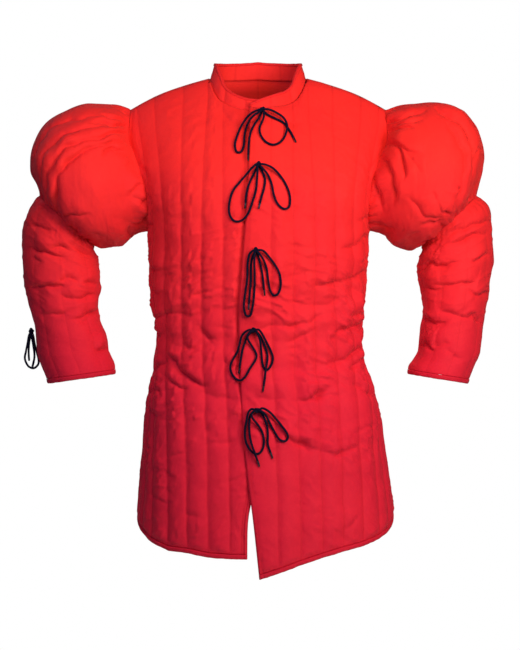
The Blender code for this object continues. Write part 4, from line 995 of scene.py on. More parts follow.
def wall(name, strips, finish, joins=(), step=INNER_EVERY, rows_step=6):
    """A closed wall from strips of Cloth. A join (i, j, last) sews column -1 of strip i to column 0 of j."""
    rows = strips[0].outer.shape[0]
    keep_rows = sparse(rows, rows_step, [last for _, _, last in joins])
    places, charts, stitches, fronts, backs = [], [], [], [], []
    total = 0
    for strip in strips:
        keep_columns = sparse(strip.outer.shape[1], step)
        lattice = np.ix_(keep_rows, keep_columns)
        for grid, chart, stitch, found in (
            (strip.outer, strip.chart, strip.stitch, fronts),
            (strip.inner[lattice], strip.chart[lattice], strip.stitch[lattice], backs),
        ):
            count = grid.shape[0] * grid.shape[1]
            found.append(np.arange(total, total + count).reshape(grid.shape[:2]))
            places.append(grid.reshape(-1, 3))
            charts.append(chart.reshape(-1, 2))
            stitches.append(stitch.ravel())
            total += count
    own_fronts, own_backs = [f.copy() for f in fronts], [b.copy() for b in backs]
    sewn = {}
    for i, j, last in joins:
        kept = int(np.searchsorted(keep_rows, last)) + 1
        fronts[i][: last + 1, -1] = fronts[j][: last + 1, 0]
        backs[i][:kept, -1] = backs[j][:kept, 0]
        sewn[i, "last"] = sewn[j, "first"] = kept
    faces, corners = [], []
    for i, strip in enumerate(strips):
        keep_columns = sparse(strip.outer.shape[1], step)
        for grid, into in ((fronts, faces), (own_fronts, corners), (backs, faces), (own_backs, corners)):
            into.extend(quads(grid[i]).tolist())
        for r in (0, -1):
            for k, (a, b) in enumerate(zip(keep_columns, keep_columns[1:])):
                for back, front, into in ((backs, fronts, faces), (own_backs, own_fronts, corners)):
                    into.append([back[i][r, k], *front[i][r, a : b + 1], back[i][r, k + 1]])
        for c, end in ((0, "first"), (-1, "last")):
            for k, (a, b) in enumerate(zip(keep_rows, keep_rows[1:])):
                if k + 1 < sewn.get((i, end), 0):
                    continue
                for back, front, into in ((backs, fronts, faces), (own_backs, own_fronts, corners)):
                    into.append([back[i][k, c], *front[i][a : b + 1, c], back[i][k + 1, c]])
    faces = [[int(v) for v in face] for face in faces]
    charts = np.concatenate(charts)[np.concatenate([np.asarray(corner) for corner in corners])]
    return add_mesh(name, np.concatenate(places), faces, charts, finish, np.concatenate(stitches))


def apart(points, back):
    """The points kept clear of the seams that lie in the plane of the side seams."""
    gap = SEAM_GAP / 2
    points[..., 1] = np.maximum(points[..., 1], gap) if back else np.minimum(points[..., 1], -gap)


for cloth, is_back in ((left_cloth, False), (right_cloth, False), (back_left_cloth, True), (back_right_cloth, True)):
    apart(cloth.inner, is_back)
    apart(cloth.outer, is_back)

front_left = wall("cloth_front_left", [left_cloth], RED)
front_right = wall("cloth_front_right", [right_cloth], RED)

# The two halves of the back meet at the centre, and part below the top of the vent.
VENT_ROW = int(np.argmin(np.abs(back_left.form[:, 0, 2] - VENT_TOP)))
for grid in ("inner", "outer"):
    ours, theirs = getattr(back_left_cloth, grid), getattr(back_right_cloth, grid)
    middle = (ours[:, 0] + theirs[:, 0]) / 2
    fade = np.exp(-back_left.girth / 0.012)[..., None]
    part = VENT_GAPE * ease((np.arange(len(middle)) - VENT_ROW) / (len(middle) - 1 - VENT_ROW))
    part += np.where(np.arange(len(middle)) > VENT_ROW, SEAM_GAP, 0.0)
    shift = np.zeros_like(middle)
    shift[:, 0] = part
    ours += fade * (middle - ours[:, 0])[:, None] + fade * shift[:, None]
    theirs += fade * (middle - theirs[:, 0])[:, None] - fade * shift[:, None]


def flipped(cloth):
    return Cloth(*(grid[:, ::-1] for grid in cloth))


back = wall("cloth_back", [flipped(back_right_cloth), back_left_cloth], RED, joins=[(0, 1, VENT_ROW)])
for piece in (front_left, front_right, back):
    print(piece.name, len(piece.data.polygons), "faces")

# %% [markdown]
# ## Puffs and sleeves
# An arm is a row of rings. Between two rings of the solids, cubic curves give the rings in between. The puff is
# gathered into the armhole and into the sleeve, so small pleats run out of both seams and fade towards its middle.
# The sleeve fits the arm more closely, and its creases run across it, one above the other.

# %% Tables of folds on the arms
CREASES["puff_right"] = crease_table(
    (7, 9, (-356, -236), (-359, -214), (-350, -176), (-322, -146), (-290, -128), (-250, -120)),
    (6, 7, (-372, -222), (-376, -196), (-366, -166), (-344, -140), (-312, -120), (-262, -108)),
    (6, 5, (-388, -196), (-386, -164), (-364, -128), (-330, -104), (-282, -94), (-244, -88)),
    (6, 4, (-404, -160), (-388, -116), (-350, -88), (-300, -76), (-252, -72)),
    (6, 8, (-236, -134), (-256, -131), (-268, -137), (-276, -150)),
    (5, 7.5, (-238, -121), (-252, -121), (-270, -124), (-288, -120)),
    (5, 8, (-238, -101), (-252, -101), (-268, -108), (-300, -116)),
    (5, 8, (-240, -87), (-252, -88), (-276, -84), (-304, -88)),
    (4, 5, (-244, -77), (-256, -76), (-280, -70)),
    (4, 4, (-222, -152), (-229, -160), (-232, -170)),
    (5, 4.5, (-204, -192), (-216, -200), (-230, -216)),
    (4, 3.5, (-197, -214), (-206, -226), (-210, -240)),
    (5, 4, (-196, -250), (-214, -262), (-232, -258)),
    (5, 4.5, (-346, -248), (-330, -248), (-306, -250), (-290, -246)),
    (6, 1.6, (-308, -284), (-290, -280), (-268, -284)),
    (6, 1.4, (-250, -300), (-244, -286), (-232, -276)),
    (6, 6, (-228, -292), (-231, -276), (-226, -262)),
)
CREASES["sleeve_right"] = crease_table(
    (8, 6.5, (-402, -306), (-385, -313), (-367, -318), (-345, -321), (-331, -327)),
    (7, 6, (-368, -308), (-358, -301), (-347, -304), (-338, -310), (-329, -313)),
    (7, 5, (-325, -309), (-311, -315), (-298, -322)),
    (8, 7, (-400, -377), (-378, -373), (-354, -374), (-336, -373), (-331, -369)),
    (7, 5.5, (-349, -363), (-336, -359), (-325, -363), (-328, -369)),
    (8, 5.5, (-280, -375), (-289, -369), (-302, -368), (-320, -366)),
    (8, 6.5, (-298, -387), (-309, -391), (-325, -395), (-340, -394), (-356, -387)),
    (8, 5, (-381, -422), (-363, -425), (-351, -423), (-338, -418), (-330, -416)),
    (9, 7.5, (-282, -412), (-293, -418), (-307, -425), (-322, -432), (-340, -434)),
    (7, 4, (-318, -438), (-307, -435), (-298, -432)),
    (7, 3, (-400, -322), (-390, -328), (-378, -332)),
    (10, 4, (-405, -266), (-387, -267), (-367, -275), (-349, -278)),
    (7, 5, (-385, -232), (-374, -239), (-363, -243), (-355, -248)),
    (8, 6.5, (-283, -312), (-291, -313), (-302, -317)),
    (8, 7, (-266, -485), (-275, -486), (-286, -489), (-298, -488)),
    (12, 2, (-275, -461), (-293, -457), (-313, -450)),
)
CREASES["puff_left"] = crease_table(
    (7, 6.5, (239, -81), (251, -77), (264, -70), (278, -66), (292, -65), (308, -63)),
    (6, 5, (242, -88), (257, -83), (274, -80), (296, -79)),
    (5, 7, (241, -97), (248, -94), (259, -92), (269, -94), (279, -100)),
    (6, 5, (235, -121), (244, -121), (257, -129), (271, -139), (285, -143), (299, -140)),
    (6, 10, (235, -121), (243, -124), (249, -132), (254, -148), (258, -166), (259, -183), (257, -194)),
    (6, 10, (223, -144), (230, -157), (236, -175), (239, -192), (242, -212), (242, -235)),
    (6, 7, (207, -174), (209, -192), (213, -212), (220, -231), (227, -244)),
    (8, 8.5, (335, -90), (343, -104), (353, -121), (361, -136), (364, -153), (364, -171), (360, -191), (359, -203)),
    (8, 8, (317, -65), (333, -77), (351, -91), (365, -106), (374, -123), (378, -141), (379, -159), (376, -175),
     (371, -191)),
    (6, 5, (388, -132), (384, -150), (384, -164), (381, -180), (377, -189)),
    (10, 3.5, (257, -129), (266, -143), (274, -157), (285, -171), (292, -183)),
    (5, 8.5, (352, -199), (356, -206), (353, -214), (350, -221)),
    (5, 7.5, (338, -245), (331, -243), (325, -246)),
    (7, 6, (323, -261), (313, -266), (303, -264), (292, -265), (281, -271)),
    (8, 5, (321, -254), (310, -255), (296, -254), (285, -244), (274, -228), (264, -212)),
    (5, 8, (313, -286), (301, -292), (290, -299)),
    (7, 3.5, (282, -282), (271, -287), (257, -291)),
    (8, 3, (308, -222), (310, -214), (307, -206)),
    (9, 3, (211, -256), (228, -268), (248, -274)),
)
CREASES["sleeve_left"] = crease_table(
    (10, 4, (376, -228), (362, -235), (349, -241), (338, -253), (324, -268)),
    (9, 6, (412, -256), (396, -262), (378, -266), (367, -273), (349, -277), (326, -295)),
    (9, 6, (410, -284), (389, -281), (376, -286), (358, -295), (340, -297), (322, -302)),
    (8, 8, (293, -346), (304, -338), (315, -332), (320, -337), (335, -336), (344, -331), (362, -331)),
    (8, 5, (413, -315), (403, -322), (385, -329), (371, -330)),
    (8, 6.5, (385, -367), (371, -368), (356, -370), (335, -372), (322, -370), (307, -372)),
    (7, 4.5, (304, -375), (317, -379), (329, -378), (340, -374)),
    (8, 6.5, (411, -387), (394, -389), (380, -386), (369, -378)),
    (8, 6.5, (385, -422), (376, -428), (362, -429), (347, -425), (333, -419), (322, -412)),
    (9, 7.5, (287, -432), (302, -434), (315, -440), (331, -439), (347, -431)),
    (7, 5, (395, -441), (389, -432), (380, -424), (367, -422)),
    (7, 8.5, (290, -483), (298, -477), (303, -480), (308, -485), (317, -486)),
    (7, 4.5, (333, -488), (347, -495), (364, -504)),
    (7, 4, (287, -421), (299, -428), (309, -435)),
    (8, 4, (284, -392), (292, -388), (302, -383)),
    (7, 3, (315, -477), (329, -476), (342, -477)),
)

# Where the padding stands fuller or flatter than its form: across, height, radius and amount in millimetres.
SWELLS = {
    "puff_left": ((352, -74, 44, 13), (404, -178, 42, -7), (256, -66, 24, -4), (246, -300, 34, -5)),
    "puff_right": ((-404, -196, 34, -7), (-262, -62, 28, -3), (-268, -312, 30, -6), (-366, -88, 26, 3)),
    "sleeve_right": ((-276, -412, 34, -6), (-280, -352, 26, -4), (-414, -470, 40, -4), (-408, -262, 20, 3)),
    "sleeve_left": ((276, -480, 44, -8), (290, -402, 20, -4), (412, -352, 26, -5), (402, -238, 16, 4)),
}


def swell(name, points):
    total = np.zeros(points.shape[:-1])
    for across, height, radius, amount in SWELLS[name]:
        off = np.hypot(points[..., 0] - across / 1000, points[..., 2] - height / 1000) / (radius / 1000)
        total += amount / 1000 * np.exp(-(off**2))
    return total


def arm_press(name, points, normals):
    """Creases of an arm's front, and the other arm's ones on its back."""
    other = name.replace("left", "#").replace("right", "left").replace("#", "right")
    facing = ease(0.15 - 1.6 * normals[..., 1])
    behind = ease(0.15 + 1.6 * normals[..., 1])
    mirrored = pressed(points * (-1, 1, 1), CREASES[other])
    return pressed(points, CREASES[name]) * facing + 0.8 * mirrored * behind


# %% Build the puffs and the sleeves
PUFF_COLUMNS, PUFF_LINES = 390, 138
SLEEVE_COLUMNS, SLEEVE_LINES = 207, 160
SLEEVE_CHANNELS = 9
SLEEVE_CHANNEL = 0.046
SLEEVE_GIRTH, CUFF_GIRTH = 0.415, 0.41
PUFF_RADIUS = 0.125
PLEATS_AT_ARMHOLE, PLEATS_AT_SLEEVE, BROAD_PLEATS, SLEEVE_GATHERS = 26, 30, 11, 32
SLIT = 0.125  # length of the slit above the cuff
SLIT_TURN = {-1: math.radians(-28), 1: math.radians(-82)}
SLIT_GAPE = 0.0035
PUFF_WALL = 0.0035
SLEEVE_WALL_AT_STITCH = 0.0040
SLEEVE_WALL_AT_CROWN = 0.0053


def even_places(rows, side, count):
    """Places among a table's rows that are evenly far apart along an arm."""
    trial = np.linspace(0, len(rows) - 1, 400)
    rings = ring_grid(rows, side, trial, np.broadcast_to(np.linspace(0, 2 * math.pi, 40), (400, 40)))
    steps = np.linalg.norm(np.diff(rings, axis=0), axis=2).max(axis=1)
    length = np.concatenate([[0.0], np.cumsum(steps)])
    return np.interp(np.linspace(0, length[-1], count), length, trial), length[-1]


def grid_normals(grid, side):
    padded = np.concatenate([grid[:, -2:-1], grid, grid[:, 1:2]], axis=1)
    normals = np.cross(np.gradient(padded, axis=1)[:, 1:-1], np.gradient(grid, axis=0))
    return unit(normals) * side


def plane_of(row, side):
    """The way along an arm that is square to a ring."""
    across = row.out_across - (row.in_across + arm_lean(row.in_height, side))
    half = unit(np.array((across, 0.0, row.out_height - row.in_height)))
    return np.array((half[2] * side, 0.0, -half[0]))


def flat_normals(ring, plane):
    normals = unit(np.cross(along_ring(ring), plane))
    return normals * np.sign(np.sum(normals * (ring - ring[:-1].mean(axis=0)), axis=1))[:, None]


def around(turns, scale, v, seed):
    """Noise on an arm that closes on itself after a whole turn."""
    x, y = scale * np.cos(turns), scale * np.sin(turns)
    return cloudy(x + 0.8 * v, y - 0.6 * v, seed) * 0.7 + 0.5 * cloudy(x + 5.2, v + y * 0.3, seed + 1)


def gathers(turns, count, seed):
    """Uneven pleats round an arm: rounded on top, with narrow valleys, from -1 to 1."""
    drift = 1.4 * np.sin(turns * 2 + seed) + 1.1 * np.sin(turns * 3 + 2.1 * seed) + 0.8 * np.sin(turns * 5 + seed * 0.7)
    height = 0.72 + 0.28 * np.sin(turns * 4 + 1.7 * seed)
    return height * (2 * np.abs(np.cos((turns * count + drift) / 2)) ** 0.8 - 1)


def puff_cloth(side, rim):
    name = "puff_left" if side > 0 else "puff_right"
    places, length = even_places(PUFF, side, PUFF_LINES)
    around_once = np.arange(PUFF_COLUMNS + 1) / PUFF_COLUMNS * 2 * math.pi
    turns = np.broadcast_to(around_once, (PUFF_LINES, PUFF_COLUMNS + 1))
    form = ring_grid(PUFF, side, places, turns)
    edge, turned = (np.stack([np.interp(around_once, RIM_TURNS, e[:, k]) for k in range(3)], axis=1) for e in rim)
    fade = (1 - ease(places / 1.3))[:, None, None]
    form = form + fade * (edge - form[0])[None]
    normals = grid_normals(form, side)
    down = np.linspace(0, length, PUFF_LINES)[:, None]
    from_top, from_end = down, length - down
    seed = 3 if side > 0 else 8

    upper = gathers(turns, PLEATS_AT_ARMHOLE, seed) * np.exp(-from_top / 0.018) * 0.0028
    lower = gathers(turns, PLEATS_AT_SLEEVE, seed + 2) * np.exp(-from_end / 0.018) * 0.0040
    calm = 1 - 0.75 * ease(0.5 - 1.8 * normals[..., 1]) * ease(from_top / 0.06) * ease(from_end / 0.07)
    deeper = 0.0030 * np.exp(-from_end / 0.060)
    broad = gathers(turns, BROAD_PLEATS, seed + 4) * (0.0026 + deeper + 0.0020 * np.exp(-from_top / 0.060))
    broad = broad * calm
    lumps = 0.0030 * around(turns, 1.5, down / 0.10, seed) + 0.0014 * around(turns, 3.4, down / 0.045, seed + 5)
    press = arm_press(name, form, normals)
    move = upper + lower + broad + lumps - press - 0.0030 + swell(name, form)
    move *= ease(from_top / 0.012) * ease((from_end + 0.0012) / 0.012)
    inner = form + normals * move[..., None]
    thick = 0.0038 + 0.0004 * around(turns, 9, down / 0.012, seed + 7)
    outer = inner + normals * thick[..., None]
    start = np.exp(-from_top / 0.0035)[..., None]
    outer += start * (turned - outer[0])[None]
    finish = form[-1] + flat_normals(form[-1], plane_of(PUFF[-1], side)) * PUFF_WALL
    outer += np.exp(-from_end / 0.0030)[..., None] * (finish - outer[-1])[None]
    outer[:, -1], inner[:, -1] = outer[:, 0], inner[:, 0]
    chart = np.stack(np.broadcast_arrays(turns * PUFF_RADIUS, down), axis=-1)
    stitch = np.minimum(from_top, from_end) * np.ones_like(turns)
    return Cloth(inner, outer, chart, stitch)


def sleeve_cloth(side):
    name = "sleeve_left" if side > 0 else "sleeve_right"
    rows = [PUFF[-1], *SLEEVE]
    places, length = even_places(rows, side, SLEEVE_LINES)
    heights = smooth(places, np.arange(len(rows)), column(rows, "out_height"))
    slit_top = SLEEVE[-1].out_height + SLIT
    gape = SLIT_GAPE / 0.06 * ease((slit_top - heights) / (SLIT * 0.8))[:, None]
    share = np.arange(SLEEVE_COLUMNS + 1) / SLEEVE_COLUMNS
    turns = SLIT_TURN[side] + gape + share * (2 * math.pi - 2 * gape)
    form = ring_grid(rows, side, places, turns)
    down = np.linspace(0, length, SLEEVE_LINES)[:, None]
    form[0] += plane_of(PUFF[-1], side) * SEAM_GAP * 3
    normals = grid_normals(form, side)
    normals[0] = flat_normals(form[0], plane_of(PUFF[-1], side))
    normals[-1] = flat_normals(form[-1], plane_of(SLEEVE[-1], side))
    slit_row = int(np.argmax(gape[:, 0] > 0)) - 1

    line = share * SLEEVE_CHANNELS
    to_line = np.abs(line - np.round(line)) * SLEEVE_CHANNEL
    full = np.sin(math.pi * (line % 1)) ** 0.8 * np.ones_like(down)
    seed = 13 if side > 0 else 17
    closed_turns = turns - gape
    from_end = length - down
    thick = SLEEVE_WALL_AT_STITCH + (SLEEVE_WALL_AT_CROWN - SLEEVE_WALL_AT_STITCH) * full
    thick -= 0.0001 * np.exp(-((to_line / 0.0014) ** 2))
    thick += 0.0004 * np.exp(-to_line / 0.005) * around(closed_turns, 6, down / 0.007, seed)
    gather = gathers(closed_turns, SLEEVE_GATHERS, seed + 1) * np.exp(-down / 0.016) * 0.0016
    wander = 0.010 * around(closed_turns, 1.1, down / 0.08, seed + 2)
    low = around(closed_turns, 1.3, (down + wander) / 0.034, seed + 3)
    wrinkle = np.clip(1 - 2.6 * np.abs(around(closed_turns, 1.2, (down + wander) / 0.026, seed + 5)), 0, 1) ** 1.4
    press = arm_press(name, form, normals)
    calm = ease(down / 0.012) * (0.25 + 0.75 * ease((from_end - 0.004) / 0.030))
    lower_part = 1 - 0.6 * ease((down / length - 0.62) / 0.15)
    move = (gather + (0.0024 * low + 0.0012 * wrinkle) * lower_part - press - 0.0008 + swell(name, form)) * calm
    if slit_row > 0:
        from_slit = np.minimum(share, 1 - share)[None] * CUFF_GIRTH
        near = np.exp(-from_slit / 0.006) * (down > down[slit_row])
        move *= 1 - 0.8 * near
    inner = form + normals * move[..., None]
    thick = PUFF_WALL + (thick - PUFF_WALL) * ease(down / 0.010)
    outer = inner + normals * thick[..., None]
    outer[0] = form[0] + normals[0] * PUFF_WALL
    closed = slice(0, slit_row + 1)
    outer[closed, -1], inner[closed, -1] = outer[closed, 0], inner[closed, 0]
    chart = np.stack(np.broadcast_arrays(share * SLEEVE_GIRTH + np.zeros_like(down), down), axis=-1)
    to_slit = np.where(down > down[slit_row], np.minimum(share, 1 - share)[None] * CUFF_GIRTH, 1.0)
    stitch = np.minimum(to_line * np.ones_like(down) + 0.0010, np.abs(to_slit - 0.006))
    stitch = np.minimum(stitch, down + 0.0005)
    return Cloth(inner, outer, chart, stitch), slit_row


arms = {}
for label, side, rim in (("left", 1, LEFT_RIM), ("right", -1, RIGHT_RIM)):
    cloth = puff_cloth(side, rim)
    arms["puff", label] = wall(f"cloth_puff_{label}", [cloth], RED, joins=[(0, 0, PUFF_LINES - 1)])
    cloth, slit_row = sleeve_cloth(side)
    arms["sleeve", label] = wall(f"cloth_sleeve_{label}", [cloth], RED, joins=[(0, 0, slit_row)])
    arms["cuff", label] = (cloth.inner[-1], cloth.outer[-1], plane_of(SLEEVE[-1], side))
for key in (("puff", "left"), ("sleeve", "left"), ("puff", "right"), ("sleeve", "right")):
    print(arms[key].name, len(arms[key].data.polygons), "faces")

# %% [markdown]
# ## The collar
# A short stand collar rises from just inside the neckline. Its foot follows the panels' upper edges from one front
# end, round the back of the neck, to the other. It is quilted in upright channels and bound along the top.

# %% Build the collar
COLLAR_WALL = 0.0050
COLLAR_FOOT = 0.0024  # how far the collar's lower edge stands above the panels'
COLLAR_CHANNEL = 0.032
COLLAR_SLANT = 0.048  # length over which the collar runs down to the left front's edge
COLLAR = table(
    "share height lean",
    (0.00, 0.0165, 0.10),
    (0.15, 0.0185, 0.14),
    (0.28, 0.0235, 0.22),
    (0.40, 0.0300, 0.30),
    (0.52, 0.0270, 0.34),
    (0.70, 0.0270, 0.22),
    (1.00, 0.0275, 0.10),
)
COLLAR_LINES = 20


def neck_loop():
    """The panels' inner upper edges from the right front's free edge, round the back, to the left's."""
    cloths = (right_cloth, back_right_cloth, back_left_cloth, left_cloth)
    front_right_edge, back_right_edge, back_left_edge, front_left_edge = (cloth.inner[0] for cloth in cloths)
    return np.concatenate([
        front_right_edge[: 3 * FINE + 1], back_right_edge[: 2 * FINE][::-1],
        back_left_edge[1 : 2 * FINE + 1], front_left_edge[: 3 * FINE][::-1],
    ])


def collar_cloth():
    foot_line = neck_loop()
    length = passed(foot_line)
    share = 1 - np.abs(2 * length / length[-1] - 1)
    height, lean = (smooth(share, column(COLLAR, "share"), column(COLLAR, k)) for k in ("height", "lean"))
    along = np.gradient(foot_line, axis=0)
    out = unit(np.stack([-along[:, 1], along[:, 0], np.zeros(len(along))], axis=1))
    out *= np.sign(np.sum(out * (foot_line - (0.0, -0.01, 0.0)) * (1, 1, 0), axis=1))[:, None]
    for _ in range(60):
        out[1:-1] = unit(softened(out))
    slant = np.clip((length[-1] - length) / COLLAR_SLANT, 0, 1)
    height = height * (0.22 + 0.78 * slant) + 0.0035 * slant * (1 - slant) * 4
    foot = foot_line - out * 3 * SEAM_GAP + (0.0, 0.0, COLLAR_FOOT)
    rise = unit(np.array((0.0, 0.0, 1.0)) - out * lean[:, None])
    out = unit(out + rise * lean[:, None])

    line = np.arange(len(foot)) / FINE
    to_line = np.abs(line - np.round(line)) * COLLAR_CHANNEL
    up = np.linspace(0, 1, COLLAR_LINES)[:, None]
    full = np.sin(math.pi * (line % 1)) ** 0.7 * np.sin(math.pi * np.clip(up, 0.03, 0.97)) ** 0.5
    bulge = 0.0016 * full - 0.0006 * np.exp(-((to_line / 0.0012) ** 2)) * (up > 0.05) * (up < 0.95)
    bulge = bulge + 0.0005 * cloudy(line * 2.2, up * 2.5, 41) * np.sin(math.pi * up)
    ends = np.minimum(length, length[-1] - length)
    slim = 0.0016 * (1 - np.sqrt(np.clip(1 - (1 - ends / 0.004) ** 2, 0, 1))) * (ends < 0.004)
    face = foot + rise * (height * up)[..., None]
    outer = face + out * (bulge - slim)[..., None]
    inner = face - out * (COLLAR_WALL - slim + 0.0007 * full)[..., None]
    chart = np.stack(np.broadcast_arrays(length, height * up), axis=-1)
    stitch = to_line * np.ones_like(up)
    return Cloth(inner, outer, chart, stitch), rise


collar_made, collar_rise = collar_cloth()
collar = wall("cloth_collar", [collar_made], RED, step=2, rows_step=2)
print("collar:", len(collar.data.polygons), "faces")

# %% [markdown]
# ## Bindings
# The hems, the cuffs and the collar are bound with bias tape, folded over the edge and stitched down. A binding is
# a rounded band that follows the edge. The tape was cut on the bias, so it twists a little, and slanting ripples
# run along it.

# %% Build the bindings
BINDING_HEIGHT, BINDING_THICK, CUFF_BINDING_THICK = 0.0085, 0.0080, 0.0065
COLLAR_BINDING_HEIGHT, COLLAR_BINDING_THICK, COLLAR_BINDING_GAP = 0.0050, 0.0068, -0.0006
END_ROUND = 0.003  # a band is rounded off over this length at its ends
TWIST = 0.010  # how far a ripple slants along the edge
SECTION_TURNS = np.linspace(0, 1, 17)


def band_section():
    """Across and up a band's section, from one lower corner over the rounded top to the other."""
    turns = math.pi * (1 - SECTION_TURNS)
    across = 0.5 * np.sign(np.cos(turns)) * np.abs(np.cos(turns)) ** 0.62
    rise = np.abs(np.sin(turns)) ** 0.62
    return across, rise


def binding(name, inner_edge, outer_edge, away, height, thick, seed, gap=SEAM_GAP):
    middle, through = (inner_edge + outer_edge) / 2, unit(outer_edge - inner_edge)
    length = passed(middle)
    across, rise = band_section()
    ends = np.minimum(length, length[-1] - length)
    round_off = 0.72 + 0.28 * np.sqrt(np.clip(1 - (1 - np.minimum(ends, END_ROUND) / END_ROUND) ** 2, 0, 1))
    slant = length[:, None] + TWIST * (rise[None] * np.sign(across)[None])
    ripple = cloudy(slant / 0.0085, np.full_like(slant, 0.5), seed) * 0.05
    ripple += cloudy(slant / 0.021, np.full_like(slant, 3.5), seed + 2) * 0.05
    puff = 1 + ripple * np.sin(math.pi * SECTION_TURNS)[None]
    sewn = 1 - 0.09 * np.exp(-(((rise - 0.22) / 0.07) ** 2))
    wide = across * sewn * puff * thick * round_off[:, None]
    tall = gap + rise * puff * (height - 0.0002) * (0.6 + 0.4 * round_off[:, None])
    rings = middle[:, None] + through[:, None] * wide[..., None] + away[:, None] * tall[..., None]
    rows, columns = wide.shape
    ids = np.arange(rows * columns).reshape(rows, columns)
    under = np.stack([ids[:-1, 0], ids[1:, 0], ids[1:, -1], ids[:-1, -1]], axis=-1)
    faces = [*quads(ids).tolist(), *under.tolist(), ids[0].tolist(), ids[-1].tolist()]
    over = SECTION_TURNS * 2.6 * height
    chart = np.stack(np.broadcast_arrays(length[:, None], over[None]), axis=-1).reshape(-1, 2)
    stitch = np.broadcast_to(np.minimum(rise, 1.0) * height, wide.shape)
    stitch = np.abs(stitch - 0.22 * height).ravel()
    corners = np.concatenate([np.asarray(face) for face in faces])
    return add_mesh(name, rings.reshape(-1, 3), faces, chart[corners], TAPE, stitch)


def hem_binding(name, cloth, seed):
    away = unit(cloth.inner[-1] - cloth.inner[-4])
    for _ in range(30):
        away[1:-1] = unit(softened(away))
    edges = []
    for grid in (cloth.inner, cloth.outer):
        line = grid[-1].copy()
        line[-1] += unit(line[-2] - line[-1]) * 0.001
        edges.append(line)
    return binding(name, *edges, away, BINDING_HEIGHT, BINDING_THICK, seed)


hem_left = hem_binding("binding_hem_left", left_cloth, 51)
hem_right = hem_binding("binding_hem_right", right_cloth, 53)
hem_back_left = hem_binding("binding_hem_back_left", back_left_cloth, 55)
hem_back_right = hem_binding("binding_hem_back_right", back_right_cloth, 57)
collar_tape = binding(
    "binding_collar", collar_made.inner[-1], collar_made.outer[-1], collar_rise,
    COLLAR_BINDING_HEIGHT, COLLAR_BINDING_THICK, 59, gap=COLLAR_BINDING_GAP,
)
cuffs = {}
for label, seed in (("left", 61), ("right", 63)):
    inner_edge, outer_edge, away = arms["cuff", label]
    away = np.tile(away, (len(inner_edge), 1))
    cuffs[label] = binding(
        f"binding_cuff_{label}", inner_edge, outer_edge, away, BINDING_HEIGHT, CUFF_BINDING_THICK, seed
    )
print("bindings:", 7, "with", len(hem_left.data.polygons), "faces on the left hem")

# %% [markdown]
# ## Ties
# Five laces close the front, each in a bow of two loops and two tipped ends, and one more hangs at the right wrist.
# Each route was drawn as places on a sheet held up to the front, in units of LAY. A third number is how
# far the middle of the lace lies off the cloth, in millimetres, so that one part can cross over another. Without
# one, the lace lies on the cloth.

# %% Routes of the ties
LACE = 0.0040  # diameter of the laces
LACE_SIDES = 10
BRAID = 0.035  # height of the braid in a lace's surface, as a share of its radius
LAY = 0.001765  # the unit of the sheet that the routes are drawn on
LAY_MIDDLE = (0.0036, -0.4464)  # where the sheet's middle lies: across and height
SHEET_MIDDLE = (260, 325)  # the sheet's own middle, in units of LAY
LYING = 2.4  # how far the middle of a lace is off the cloth that it lies on, in millimetres
STEP_ALONG = 0.0013  # from one ring of a lace to the next
KNOT_RADIUS = 0.0052
KNOT_REACH = 0.0016
KNOT_LACE_RADIUS = 0.0019  # a lace is drawn a little thinner in its knot
KNOT_SCALE = 0.00118
TIP_LENGTH = 0.0115
TIP_SIDES = 16
KNOTS = {
    1: (262.5, 107.5, 8.6),
    2: (258.5, 164, 6.4),
    3: (256, 249, 5.6),
    4: (254, 328, 5.8),
    5: (257, 407, 6.1),
}
